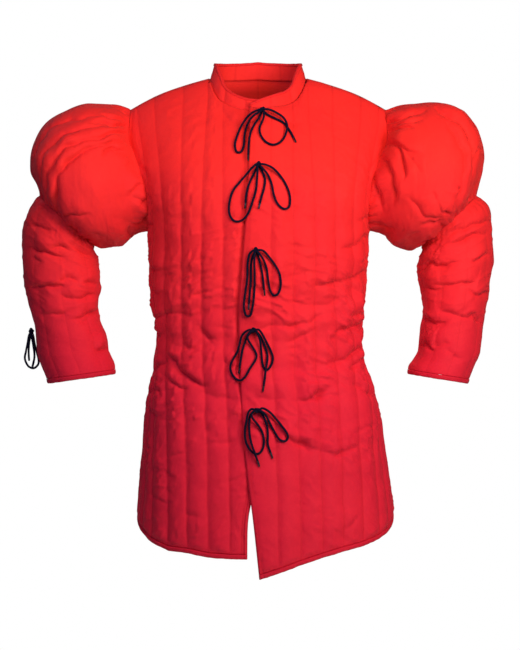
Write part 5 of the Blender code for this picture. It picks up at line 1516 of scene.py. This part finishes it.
ROUTES = {
    (1, "loop_left"): (
        (255, 109.5, 8.6), (248, 114.5, 8.6), (241, 125, 4), (236.5, 137), (235, 145), (237, 151.5), (241.5, 151),
        (244, 144), (244.5, 135), (246.5, 125, 4), (251.5, 116.5, 10), (257.5, 111.5, 11),
    ),
    (1, "end_left"): ((259.5, 115.5), (254.5, 123), (250.5, 132), (249, 142), (248.3, 154.5)),
    (1, "loop_right"): (
        (269, 107.5, 8.6), (276.5, 111, 8.6), (283.5, 116, 8), (287, 123, 7.4), (286.5, 130, 6), (282.5, 139),
        (275, 144), (267, 142), (261, 135), (259.5, 127), (262.5, 119.5, 5), (264, 115, 8.6),
    ),
    (1, "end_right"): ((268, 113), (276, 117), (284, 121.5), (290, 129.5), (293.3, 136)),
    (2, "loop_left"): (
        (252, 168, 8.6), (246, 175, 8.6), (239.5, 182.5, 3), (233.5, 190), (230, 201), (229.5, 212), (234, 220),
        (241.5, 220), (248, 213.5), (252.5, 202), (256, 190), (257, 179, 3), (257.5, 171, 8.6),
    ),
    (2, "end_left"): ((254.5, 172.5), (250, 182), (246.8, 192), (245.6, 202)),
    (2, "loop_right"): (
        (265, 164.5, 8.6), (272.5, 168, 8.6), (279.5, 175, 4), (285.5, 184), (289.5, 195), (289, 206),
        (283.5, 208.5), (277, 203), (273.5, 194), (271.5, 184), (268, 175, 5), (263.5, 169.5, 8.6),
    ),
    (2, "end_right"): ((262, 171), (265, 179), (264, 188), (261.5, 196.5), (260, 202.5)),
    (3, "loop_left"): (
        (249.6, 253, 5), (247.6, 264), (247.4, 277), (245.5, 291), (244, 304), (246, 313.5), (250.5, 313.5),
        (253.2, 302), (254.5, 288), (254.6, 273, 3), (254.4, 260, 8),
    ),
    (3, "end_left"): ((252, 258), (251, 268), (250.9, 280), (249.8, 293), (249, 302)),
    (3, "loop_right"): (
        (263, 249.5, 8.6), (269, 256, 5), (275, 264), (279.5, 273), (280.5, 284), (278, 292), (273.5, 294),
        (270, 288.5), (268, 278), (266.5, 267), (262.5, 257, 8.6),
    ),
    (3, "end_right"): ((258.8, 257), (261.3, 267), (263, 278), (264, 288)),
    (4, "loop_left"): (
        (249.5, 327.5, 8.6), (245.2, 330, 7), (241.8, 334, 5), (240, 341), (237.4, 350), (233, 357.5),
        (230.5, 365), (233.5, 373.5), (240, 378), (245.5, 374), (250, 366), (255.5, 357.5), (256.6, 352),
        (252.5, 344.5, 3), (248.4, 338, 7), (247.6, 333, 10),
    ),
    (4, "end_left"): ((247.6, 334.5), (244.4, 341.5), (242.2, 350), (240.8, 358.5), (239.8, 365)),
    (4, "loop_right"): (
        (258.5, 327, 8.6), (262, 331.5, 8.6), (265.4, 338, 6), (269.6, 346, 4), (272.8, 355), (271, 363),
        (266, 368), (262.6, 362), (261.6, 353), (260.8, 344, 5), (259.4, 335.5, 9),
    ),
    (4, "end_right"): (
        (261, 335), (264.5, 343), (267.3, 352), (267, 359.5, 5), (265.6, 367, 8.6), (264.8, 375, 5), (263.6, 383),
    ),
    (5, "loop_left"): (
        (252, 405.2, 8.6), (248.4, 409, 8.6), (247, 416, 7), (245.2, 426, 3), (245.8, 437), (250.3, 446),
        (256.8, 450), (262, 446.5), (264, 437.5), (262, 428), (257.4, 420.5, 4), (252.6, 414.8, 8),
        (251.4, 409.8, 11),
    ),
    (5, "end_left"): ((250.4, 412), (249.4, 421), (249.8, 431), (252, 441, 5), (255, 449, 8.6), (257.5, 456.5, 4)),
    (5, "loop_right"): (
        (262, 404.6, 8.6), (269, 408.2, 8.6), (275.4, 415, 6), (281.4, 422.4, 3), (286.4, 429), (287.6, 434.4),
        (284.2, 437.6), (279, 435.6), (275, 429.4), (270.4, 421, 4), (266.4, 413, 8.6), (261.8, 407.6, 10),
    ),
    (5, "end_right"): ((261.6, 409.8), (265, 416.5), (267, 423), (267.8, 431), (267.6, 440), (270.3, 448.5)),
}

# Which way each part leaves its knot, and the way a loop comes back, in starting distances: across, forward and
# up. A part on the left goes the other way across.
LEAVING = {
    "loop_right": ((0.90, 0.42, -0.08), (0.52, 0.60, -0.60)),
    "end_right": ((0.40, -0.40, -0.82),),
    "arch_loop_right": ((0.95, 0.42, 0.10), (0.80, 0.60, -0.12)),
    "arch_end_right": ((0.85, -0.40, -0.30),),
    "loop": ((-0.46, 0.0, -0.81), (0.46, 0.0, -0.81)),
    "end_back": ((0.0, -0.78, -0.56),),
    "end_front": ((0.0, 0.78, -0.56),),
}

# Ties whose laces run out sideways and arch over before they hang.
ARCHED = (4, 5)

# Laces that start nearer to their knot, and by how much.
NEARER = {(1, "loop_left"): 0.95, (3, "end_left"): 0.90, (3, "end_right"): 0.90, (4, "end_left"): 0.96}

# The right wrist's tie hangs free beside the cuff's slit: across, y and height in millimetres.
WRIST_KNOT = (-410.6, 20, -453)
WRIST_ROUTES = {
    "loop": (
        (-415.1, 20, -463), (-417.1, 20, -475), (-420.1, 20, -490), (-422.1, 20, -504),
        (-416.1, 20, -517), (-406.1, 20, -521), (-398.1, 20, -514), (-397.6, 20, -504),
        (-401.1, 20, -490), (-404.6, 20, -476), (-406.6, 20, -464),
    ),
    "end_back": ((-413.1, 27, -464), (-415.1, 28, -475), (-416.1, 28, -492), (-415.1, 28, -508)),
    "end_front": ((-409.1, 13, -464), (-406.1, 12, -480), (-404.1, 12, -500), (-408.1, 12, -520)),
}

# %% Build the laces, the knots and their tips


def spaced(points, step):
    length = passed(points)
    at = np.linspace(0, length[-1], max(4, int(round(length[-1] / step)) + 1))
    return np.stack([np.interp(at, length, points[:, k]) for k in range(3)], axis=1)


def surface_of(*panels):
    """A function that gives how far forward the panels reach round a place."""
    trees = []
    for panel in panels:
        builder = bmesh.new()
        builder.from_mesh(panel.data)
        trees.append(BVHTree.FromBMesh(builder))
        builder.free()

    def reach(x, z):
        hits = []
        for dx, dz in ((0, 0), (LACE * 0.5, 0), (-LACE * 0.5, 0), (0, LACE * 0.5), (0, -LACE * 0.5)):
            for tree in trees:
                place = tree.ray_cast((x + dx, -1.0, z + dz), (0, 1, 0))[0]
                if place:
                    hits.append(place[1])
        return min(hits)

    return reach


reach = surface_of(front_left, front_right)


def laid(across, down, lift=LYING):
    x = LAY_MIDDLE[0] + (across - SHEET_MIDDLE[0]) * LAY
    z = LAY_MIDDLE[1] - (down - SHEET_MIDDLE[1]) * LAY
    lean = (reach(x, z + LACE) - reach(x, z - LACE)) / (2 * LACE)
    return np.array((x, reach(x, z) - lift / 1000 * math.hypot(1, lean), z))


def with_knot(points, middle, part, nearer=1.0):
    start = (KNOT_RADIUS + KNOT_REACH) * nearer * 0.62
    side = -1 if part.endswith("left") else 1
    ways = LEAVING[part.replace("left", "right")]
    places = [middle + np.array(way) * (side, -1, 1) * start for way in ways]
    return np.vstack([places[0], points, *places[1:]])


def on_front(route, middle, part, nearer):
    points = with_knot(np.array([laid(*row) for row in route]), middle, part, nearer)
    fine = spaced(through_points(points, 12), STEP_ALONG)
    for _ in range(9):
        fine[1:-1] = softened(fine)
    cloth = np.array([reach(x, z) for x, _, z in fine])
    padded = np.concatenate([[cloth[0]] * 2, cloth, [cloth[-1]] * 2])
    nearest = np.min([padded[k : k + len(cloth)] for k in range(5)], axis=0)
    fine[:, 1] = np.minimum(fine[:, 1], nearest - LACE / 2 + 0.0001)
    for _ in range(3):
        fine[1:-1, 1] = np.minimum(fine[1:-1, 1], softened(fine[:, 1]))
    return spaced(fine, STEP_ALONG)


def tube(name, points, radius, finish, taper=0.0):
    """A closed tube along points, with a slight braid in its surface and a chart along it."""
    ways = unit(np.gradient(points, axis=0))
    side = unit(np.cross(ways[0], (0.31, 0.86, 0.41)))
    frames = []
    for way in ways:
        side = unit(side - way * float(side @ way))
        frames.append((side, np.cross(way, side)))
    frames = np.array(frames)
    turns = np.linspace(0, 2 * math.pi, LACE_SIDES + 1)
    length = passed(points)
    one_way = BRAID * np.sin(turns[None] * 2 + length[:, None] / 0.0009)
    braid = 1 + one_way * np.sin(turns[None] * 2 - length[:, None] / 0.0011)
    ends = np.minimum(length, length[-1] - length)
    close = 1 - taper * np.clip(1 - ends / 0.002, 0, 1)
    size = radius * braid * close[:, None]
    size[:, -1] = size[:, 0]
    rings = points[:, None] + size[..., None] * (
        np.cos(turns)[None, :, None] * frames[:, :1] + np.sin(turns)[None, :, None] * frames[:, 1:]
    )
    rows = len(points)
    ids = np.arange(rows * (LACE_SIDES + 1)).reshape(rows, LACE_SIDES + 1)
    merged = ids.copy()
    merged[:, -1] = merged[:, 0]

    faces = [*quads(merged).tolist(), merged[0, :-1].tolist(), merged[-1, :-1].tolist()]
    corners = np.concatenate([quads(ids).ravel(), ids[0, :-1], ids[-1, :-1]])
    chart = np.stack(np.broadcast_arrays(turns[None] / (2 * math.pi), length[:, None]), axis=-1).reshape(-1, 2)
    return add_mesh(name, rings.reshape(-1, 3), faces, chart[corners], finish)


def knot(name, middle, turn=0.0):
    """A small overhand knot: one lace wound through itself, pulled tight."""
    t = np.linspace(0, 2 * math.pi, 60)
    loop = np.stack([np.sin(t) + 2 * np.sin(2 * t), -np.sin(3 * t) * 1.2, np.cos(t) - 2 * np.cos(2 * t)], axis=1)
    loop *= KNOT_SCALE
    c, s = math.cos(turn), math.sin(turn)
    loop = np.stack([loop[:, 0] * c - loop[:, 2] * s, loop[:, 1], loop[:, 0] * s + loop[:, 2] * c], axis=1)
    return tube(name, middle + loop, KNOT_LACE_RADIUS, CORD)


def tip(name, start, direction):
    """A tapered metal tip, crimped round the lace's end, turned from a profile."""
    outline = (
        (0.0, 0.0), (0.00185, 0.0), (0.0020, 0.0005), (0.0019, 0.0012), (0.00165, 0.0020),
        (0.0018, 0.0028), (0.00175, 0.0060), (0.0015, 0.0100), (0.0011, 0.0112), (0.0, TIP_LENGTH),
    )  # radius and height above the lace's end
    made = bpy.data.objects.new(name, bpy.data.meshes.new(name))
    bpy.context.scene.collection.objects.link(made)
    builder = bmesh.new()
    rings = [[] for _ in outline]
    for level, (radius, up) in enumerate(outline):
        for k in range(TIP_SIDES if radius else 1):
            turn = k / TIP_SIDES * 2 * math.pi
            rings[level].append(builder.verts.new((radius * math.cos(turn), radius * math.sin(turn), up)))
    for lower, upper in zip(rings, rings[1:]):
        for k in range(TIP_SIDES):
            n = (k + 1) % TIP_SIDES
            corner = [lower[k % len(lower)], lower[n % len(lower)], upper[n % len(upper)], upper[k % len(upper)]]
            unique = [v for i, v in enumerate(corner) if v not in corner[:i]]
            builder.faces.new(unique)
    bmesh.ops.recalc_face_normals(builder, faces=builder.faces)
    turn = Vector((0, 0, 1)).rotation_difference(Vector(direction)).to_matrix().to_4x4()
    bmesh.ops.transform(builder, matrix=Matrix.Translation(Vector(start)) @ turn, verts=builder.verts)
    builder.to_mesh(made.data)
    builder.free()
    made.data.materials.append(TIP)
    made.data.shade_smooth()
    return made


def tip_direction(points):
    way = unit((points[-1] - points[-8]) * (1, 0, 1))
    over = [reach(*(points[-1] + way * length)[[0, 2]]) for length in np.linspace(0, TIP_LENGTH + 0.001, 5)]
    far = points[-1] + way * TIP_LENGTH
    far[1] = min(over) - LACE / 2
    return unit(far - points[-1])


ties = []
for number, place in KNOTS.items():
    middle = laid(*place)
    middle_knot = knot(f"tie_{number}_bow_knot", middle, turn=0.4 * number)
    for part in ("loop_left", "loop_right", "end_left", "end_right"):
        leaving = f"arch_{part}" if number in ARCHED else part
        points = on_front(ROUTES[number, part], middle, leaving, NEARER.get((number, part), 1.0))
        lace = tube(f"tie_{number}_lace_{part}", points, LACE / 2, CORD)
        end = None
        if part.startswith("end"):
            end = tip(f"tie_{number}_metal_tip_{part[4:]}", points[-1] + 0.0003, tip_direction(points))
        ties.append((f"tie_{number}_", part, lace, points, end, middle_knot))

wrist_middle = np.array(WRIST_KNOT) / 1000
wrist_knot = knot("wrist_bow_knot", wrist_middle, turn=1.2)
for part, route in WRIST_ROUTES.items():
    points = spaced(through_points(with_knot(np.array(route) / 1000, wrist_middle, part), 12), STEP_ALONG)
    lace = tube(f"wrist_lace_{part}", points, LACE / 2, CORD, taper=0.25)
    ties.append(("wrist_", part, lace, points, None, wrist_knot))
print("laces:", len(ties), "and the longest is", round(max(length_of(tie[3]) for tie in ties), 3), "m")

# %% [markdown]
# ## Materials
# Each material is made of small node groups. One gives the height of a fine twill, from the piece's own chart, so
# the weave follows the cloth. Another gives uneven cloth tone from places in space, and a third says how far down a
# place is: the red is a little warmer at the shoulders, and painted darker and cooler toward the hem as painted shade.
# The red cotton has a soft sheen, as brushed cotton sateen does, its stitch lines show a dotted thread of the same
# red, and painted shade darkens the cloth just beside them.

# %% Node groups


def new_group(name, taken_in, given_out):
    """A node group that turns one vector into one value."""
    group = bpy.data.node_groups.new(name, "ShaderNodeTree")
    group.interface.new_socket(taken_in, in_out="INPUT", socket_type="NodeSocketVector")
    group.interface.new_socket(given_out, in_out="OUTPUT", socket_type="NodeSocketFloat")
    return group, group.nodes.new("NodeGroupInput"), group.nodes.new("NodeGroupOutput")


def feed(tree, socket, value):
    """Link another node's output to a socket, or set the socket to a number or a colour."""
    if isinstance(value, bpy.types.NodeSocket):
        tree.links.new(value, socket)
    elif value is not None:
        socket.default_value = value


def maths(tree, operation, first, second=None, third=None):
    node = tree.nodes.new("ShaderNodeMath")
    node.operation = operation
    for socket, value in zip(node.inputs, (first, second, third)):
        feed(tree, socket, value)
    return node.outputs[0]


def noise(tree, vector, scale, detail=3.0, roughness=0.55):
    node = tree.nodes.new("ShaderNodeTexNoise")
    node.inputs["Scale"].default_value = scale
    node.inputs["Detail"].default_value = detail
    node.inputs["Roughness"].default_value = roughness
    tree.links.new(vector, node.inputs["Vector"])
    return node.outputs["Fac"]


def remap(tree, value, low, high, new_low, new_high):
    node = tree.nodes.new("ShaderNodeMapRange")
    for socket, number in zip(list(node.inputs)[1:5], (low, high, new_low, new_high)):
        socket.default_value = number
    tree.links.new(value, node.inputs["Value"])
    return node.outputs["Result"]


def blend(tree, share, first, second):
    node = tree.nodes.new("ShaderNodeMix")
    node.data_type = "RGBA"
    for label, value in (("Factor", share), ("A", first), ("B", second)):
        feed(tree, node.inputs[label], value)
    return node.outputs["Result"]


def axes_of(tree, vector):
    """A vector's three numbers."""
    node = tree.nodes.new("ShaderNodeSeparateXYZ")
    tree.links.new(vector, node.inputs[0])
    return node.outputs


def twill_group():
    """Height of a fine twill from a chart in metres: slanting ribs, each broken by its threads."""
    group, given, taken = new_group("fine twill", "Chart", "Height")
    split = axes_of(group, given.outputs["Chart"])
    u, v = split[0], split[1]
    along = maths(group, "MULTIPLY", maths(group, "ADD", u, v), 2 * math.pi / 0.00085)
    across = maths(group, "MULTIPLY", maths(group, "SUBTRACT", u, v), 2 * math.pi / 0.00060)
    rib = maths(group, "MULTIPLY_ADD", maths(group, "SINE", along), 0.5, 0.5)
    thread = maths(group, "MULTIPLY_ADD", maths(group, "SINE", across), 0.5, 0.5)
    slub = noise(group, given.outputs["Chart"], 420.0, 2.0)
    height = maths(group, "MULTIPLY_ADD", thread, 0.35, maths(group, "MULTIPLY", rib, 0.65))
    group.links.new(maths(group, "MULTIPLY_ADD", slub, 0.5, height), taken.inputs["Height"])
    return group


def tone_group():
    """Uneven tone of the cloth's dye, from places in space: broad patches and fine mottling."""
    group, given, taken = new_group("cloth tone", "Place", "Tone")
    broad = noise(group, given.outputs["Place"], 9.0, 4.0)
    fine = noise(group, given.outputs["Place"], 160.0, 3.0, 0.7)
    both = maths(group, "MULTIPLY_ADD", fine, 0.35, maths(group, "MULTIPLY", broad, 0.65))
    group.links.new(remap(group, both, 0.30, 0.70, 0.0, 1.0), taken.inputs["Tone"])
    return group


def depth_group():
    """How far down the garment a place is, from 0 at the shoulders to 1 in the skirt; it sets the painted shade toward
    the hem.
    """
    group, given, taken = new_group("toward the hem", "Place", "Share")
    split = axes_of(group, given.outputs["Place"])
    uneven = maths(group, "MULTIPLY_ADD", noise(group, given.outputs["Place"], 5.0, 2.0), 0.10, split[2])
    group.links.new(remap(group, uneven, -0.10, -0.52, 0.0, 1.0), taken.inputs["Share"])
    return group


TWILL, TONE, DEPTH = twill_group(), tone_group(), depth_group()


def start_material(finish):
    finish.use_nodes = True
    tree = finish.node_tree
    shader = tree.nodes["Principled BSDF"]
    place = tree.nodes.new("ShaderNodeTexCoord").outputs["Object"]
    chart = tree.nodes.new("ShaderNodeUVMap")
    chart.uv_map = "cut"
    return tree, shader, place, chart.outputs["UV"]


def use(tree, group, source):
    node = tree.nodes.new("ShaderNodeGroup")
    node.node_tree = group
    tree.links.new(source, node.inputs[0])
    return node.outputs[0]


def bump(tree, shader, height, distance, strength=1.0):
    node = tree.nodes.new("ShaderNodeBump")
    node.inputs["Distance"].default_value = distance
    node.inputs["Strength"].default_value = strength
    tree.links.new(height, node.inputs["Height"])
    tree.links.new(node.outputs["Normal"], shader.inputs["Normal"])


def stitch_distance(tree):
    node = tree.nodes.new("ShaderNodeAttribute")
    node.attribute_name = "stitch"
    return node.outputs["Fac"]


def toned_red_painted_falloff(tree, place, tone, warm, painted_shade_reds):
    """The cotton's red: each of the two pairs is mixed by the tone, and the second, darker and cooler pair is painted
    shade that grows toward the hem.
    """
    reds = [blend(tree, tone, *pair) for pair in (warm, painted_shade_reds)]
    return blend(tree, use(tree, DEPTH, place), *reds)


def dotted_thread(tree, along, on_stitch):
    """Where the thread of a row of stitches shows, from the distance along the row."""
    dash = maths(tree, "SINE", maths(tree, "MULTIPLY", along, 2 * math.pi / STITCH_LENGTH))
    return maths(tree, "MULTIPLY", remap(tree, dash, -0.2, 0.3, 0.0, 1.0), on_stitch)


def keep_even(shader, **values):
    """Values that are the same all over a piece."""
    for label, value in values.items():
        shader.inputs[label.replace("_", " ")].default_value = value


# %% Red cotton, its tape, the laces and their tips
STITCH_LENGTH = 0.0030  # from one stitch to the next
SHEEN_RED = (1.0, 0.30, 0.38, 1.0)

tree, shader, place, chart = start_material(RED)
tone = use(tree, TONE, place)
warm = ((0.690, 0.0160, 0.024, 1), (0.805, 0.0225, 0.027, 1))
# The second pair is painted shade: a darker, cooler red that takes over toward the hem.
painted_shade_reds = ((0.610, 0.0108, 0.044, 1), (0.725, 0.0157, 0.049, 1))
red_with_painted_falloff = toned_red_painted_falloff(tree, place, tone, warm, painted_shade_reds)
to_stitch = stitch_distance(tree)
# Painted shade: within about 3 mm of a stitch line or seam the cloth is blended toward a deep red, for the shade in the
# stitch valleys.
stitch_valley_shade_mask = remap(tree, to_stitch, 0.0006, 0.0030, 1.0, 0.0)
on_stitch = remap(tree, to_stitch, 0.0003, 0.0009, 1.0, 0.0)
thread = dotted_thread(tree, axes_of(tree, chart)[1], on_stitch)
shaded = blend(tree, maths(tree, "MULTIPLY", stitch_valley_shade_mask, 0.16), red_with_painted_falloff, (0.330, 0.001, 0.006, 1))
sewn = blend(tree, maths(tree, "MULTIPLY", thread, 0.20), shaded, (0.500, 0.006, 0.014, 1))
tree.links.new(sewn, shader.inputs["Base Color"])
tree.links.new(remap(tree, tone, 0.0, 1.0, 0.62, 0.50), shader.inputs["Roughness"])
keep_even(shader, Sheen_Weight=0.10, Sheen_Roughness=0.38, Sheen_Tint=SHEEN_RED, Specular_IOR_Level=0.14)
weave = use(tree, TWILL, chart)
soft = maths(tree, "MULTIPLY", noise(tree, place, 300.0, 4.0), 1.2)
raised = maths(tree, "ADD", maths(tree, "ADD", weave, soft), maths(tree, "MULTIPLY", thread, 0.8))
bump(tree, shader, raised, 0.00009)

tree, shader, place, chart = start_material(TAPE)
tone = use(tree, TONE, place)
warm = ((0.600, 0.0120, 0.022, 1), (0.700, 0.0170, 0.025, 1))
# As on the cotton, the second pair is painted shade: a darker, cooler red toward the hem.
painted_shade_reds = ((0.540, 0.0080, 0.038, 1), (0.640, 0.0115, 0.043, 1))
red_with_painted_falloff = toned_red_painted_falloff(tree, place, tone, warm, painted_shade_reds)
on_stitch = remap(tree, stitch_distance(tree), 0.0002, 0.0007, 1.0, 0.0)
thread = dotted_thread(tree, axes_of(tree, chart)[0], on_stitch)
sewn = blend(tree, maths(tree, "MULTIPLY", thread, 0.5), red_with_painted_falloff, (0.300, 0.006, 0.014, 1))
tree.links.new(sewn, shader.inputs["Base Color"])
keep_even(
    shader, Roughness=0.60, Sheen_Weight=0.08, Sheen_Roughness=0.45, Sheen_Tint=SHEEN_RED, Specular_IOR_Level=0.16
)
weave = use(tree, TWILL, chart)
bump(tree, shader, maths(tree, "MULTIPLY_ADD", thread, 2.0, weave), 0.00010)

tree, shader, place, chart = start_material(CORD)
PLAIT_LENGTH, PLAITS_ROUND = 0.0022, 4

round_lace, along_lace, _ = axes_of(tree, chart)
along = maths(tree, "MULTIPLY", along_lace, 2 * math.pi / PLAIT_LENGTH)
turned = maths(tree, "MULTIPLY", round_lace, 2 * math.pi * PLAITS_ROUND)
plait = maths(
    tree, "MULTIPLY", maths(tree, "SINE", maths(tree, "ADD", along, turned)),
    maths(tree, "SINE", maths(tree, "SUBTRACT", along, turned)),
)
raised = remap(tree, plait, -1.0, 1.0, 0.0, 1.0)
# Painted shade: the plait's hollows are coloured darker and its raised strands lighter, by the same height that gives
# its bump.
navy = blend(tree, raised, (0.0018, 0.0020, 0.012, 1), (0.0050, 0.0055, 0.032, 1))
tree.links.new(navy, shader.inputs["Base Color"])
keep_even(shader, Roughness=0.72, Sheen_Weight=0.01, Sheen_Roughness=0.5, Specular_IOR_Level=0.14)
fuzz = noise(tree, place, 1800.0, 2.0)
bump(tree, shader, maths(tree, "MULTIPLY_ADD", fuzz, 0.4, raised), 0.00022)

tree, shader, place, chart = start_material(TIP)
worn = noise(tree, place, 700.0, 4.0, 0.65)
grey = blend(tree, worn, (0.03, 0.03, 0.042, 1), (0.09, 0.09, 0.12, 1))
tree.links.new(grey, shader.inputs["Base Color"])
keep_even(shader, Metallic=0.9)
tree.links.new(remap(tree, worn, 0.3, 0.7, 0.30, 0.48), shader.inputs["Roughness"])
bump(tree, shader, worn, 0.00004)
print("materials:", [m.name for m in (RED, TAPE, CORD, TIP)])

# %% [markdown]
# ## Floor and light
# Soft square lights from the right give the front its shape. Three stand at that side, one far and two near, so
# the right half is bright and the left side falls into shade. Two weak ones fill the left puff and the left of the
# chest, a window above catches the shoulders, and two stand behind for the other views. The camera sees white all
# round, yet the cloth gets only a little of it, or its creases would fade. The pale floor lies below the hem.

# %% Set the floor and the lights
FLOOR_HEIGHT = -1.25

bpy.ops.object.select_all(action="DESELECT")
bpy.ops.mesh.primitive_circle_add(vertices=64, radius=1.1, fill_type="NGON", location=(0, 0, 0))
floor = bpy.context.object
floor.name = "pale_floor"
for vertex in floor.data.vertices:
    vertex.co.z = FLOOR_HEIGHT
pale = bpy.data.materials.new("pale floor")
pale.use_nodes = True
pale.node_tree.nodes["Principled BSDF"].inputs["Base Color"].default_value = (0.85, 0.85, 0.85, 1)
pale.node_tree.nodes["Principled BSDF"].inputs["Roughness"].default_value = 0.8
floor.data.materials.append(pale)
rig.stage(floor)


def area_light(name, place, aim, size, power, colour=(1.0, 1.0, 1.0)):
    data = bpy.data.lights.new(name, "AREA")
    data.shape = "SQUARE"
    data.size = size
    data.energy = power
    data.color = colour
    lamp = bpy.data.objects.new(name, data)
    bpy.context.scene.collection.objects.link(lamp)
    lamp.location = place
    lamp.rotation_euler = (Vector(aim) - Vector(place)).to_track_quat("-Z", "Y").to_euler()


area_light("key", (1.60, -2.40, 0.10), (0.0, 0.0, -0.35), 0.6, 7.9, (0.80, 0.72, 1.45))
area_light("near key", (0.68, -1.10, 0.16), (0.12, 0.0, -0.15), 0.8, 15.2, (1.0, 1.0, 0.40))
area_light("low key", (0.85, -1.10, -0.20), (0.35, 0.0, -0.35), 0.3, 4.2, (1.0, 1.0, 0.75))
area_light("near fill", (-0.95, -1.00, 0.05), (-0.20, 0.0, -0.25), 0.3, 2.7, (0.48, 0.42, 1.0))
area_light("high fill", (-0.22, -0.80, 0.22), (-0.16, -0.10, -0.12), 0.5, 3.8, (1.0, 1.0, 0.60))
area_light("window", (-1.60, 0.90, 1.20), (0.0, 0.0, -0.10), 0.9, 3.0, (0.66, 0.76, 1.0))
area_light("back key", (-0.70, 2.70, 0.40), (0.0, 0.15, -0.35), 0.6, 54.0, (1.0, 0.92, 0.84))
area_light("back fill", (1.10, 2.60, 0.00), (0.0, 0.15, -0.35), 0.8, 15.0, (0.90, 0.90, 1.0))
for name in ("near key", "high fill", "back key", "back fill"):
    bpy.data.objects[name].visible_glossy = False  # so they draw no pale line along edges seen against them

# The camera sees plain white behind the garment, while the cloth gets a dimmer, cooler share of it.
world = bpy.data.worlds.new("even white")
bpy.context.scene.world = world
world.use_nodes = True
tree = world.node_tree
white = tree.nodes["Background"]
white.inputs["Color"].default_value = (1.0, 1.0, 1.0, 1)
dim = tree.nodes.new("ShaderNodeBackground")
dim.inputs["Color"].default_value = (0.70, 0.70, 1.0, 1)
dim.inputs["Strength"].default_value = 0.06
which = tree.nodes.new("ShaderNodeMixShader")
tree.links.new(tree.nodes.new("ShaderNodeLightPath").outputs["Is Camera Ray"], which.inputs[0])
tree.links.new(dim.outputs[0], which.inputs[1])
tree.links.new(white.outputs[0], which.inputs[2])
tree.links.new(which.outputs[0], tree.nodes["World Output"].inputs["Surface"])
bpy.context.scene.view_settings.view_transform = "Standard"
print("lights:", [o.name for o in bpy.data.objects if o.type == "LIGHT"])

# %% [markdown]
# ## What each piece is
# Every piece rides on the garment's one body, stands for a solid and takes its finish from a slot of the record.
# Panels are sheets with the size of their cut, and laces are cords with their real length.

PANELS = table(
    "piece node flat area held hangs_from tapes",
    (front_left, "front_left", (0.37, 0.87), 0.26, "hung", ["cloth_back"], [hem_left]),
    (front_right, "front_right", (0.36, 0.84), 0.24, "hung", ["cloth_back"], [hem_right]),
    (
        back, "back", (0.70, 0.80), 0.43, "hung",
        ["cloth_front_left", "cloth_front_right"], [hem_back_left, hem_back_right],
    ),
    (arms["puff", "left"], "puff_left", (0.80, 0.28), 0.17, "gathered", ["cloth_front_left"], []),
    (arms["puff", "right"], "puff_right", (0.80, 0.28), 0.17, "gathered", ["cloth_front_right"], []),
    (arms["sleeve", "left"], "sleeve_left", (0.45, 0.33), 0.125, "hung", ["cloth_puff_left"], [cuffs["left"]]),
    (arms["sleeve", "right"], "sleeve_right", (0.45, 0.33), 0.125, "hung", ["cloth_puff_right"], [cuffs["right"]]),
    (collar, "collar", (0.46, 0.034), 0.0145, "draped", ["cloth_back"], [collar_tape]),
)
tapes = {
    hem_left: "hem_binding_left", hem_right: "hem_binding_right", collar_tape: "collar_binding",
    hem_back_left: "hem_binding_back_left", hem_back_right: "hem_binding_back_right",
    cuffs["left"]: "cuff_binding_left", cuffs["right"]: "cuff_binding_right",
}


def part_of(piece, node, slot):
    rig.ride(piece, "root")
    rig.replaces(piece, node)
    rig.slot(piece, slot)


for piece, node in tapes.items():
    part_of(piece, node, "red_tape")
for panel in PANELS:
    part_of(panel.piece, panel.node, "red_cotton")
    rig.sheet(
        panel.piece, flat=panel.flat, held=panel.held, rests_on=panel.hangs_from, area=panel.area,
        with_pieces=panel.tapes,
    )
knots_done = set()
for start, part, lace, points, end, its_knot in ties:
    part_of(lace, start + part, "navy_cord")
    carried = []
    if its_knot.name not in knots_done:
        part_of(its_knot, start + "knot", "navy_cord")
        knots_done.add(its_knot.name)
        carried.append(its_knot)
    if end:
        part_of(end, start + "tip_" + part[4:], "grey_metal")
        carried.append(end)
    far_end = "object" if "loop" in part else "fitting" if end else "bare"
    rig.cord(
        lace, exit=tuple(points[0]), length=length_of(points), diameter=LACE, far_end=far_end, stiffness="limp",
        lay="hanging", path=[tuple(p) for p in points], with_pieces=carried,
    )

# %% Write the boxes and finish
bpy.context.view_layer.update()
shown_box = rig.bounds()
with open("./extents.json", "w") as record:
    json.dump({"cad": [list(v) for v in solids_box], "visual": [list(v) for v in shown_box]}, record)
print("visual box:", [[round(v, 4) for v in corner] for corner in shown_box])
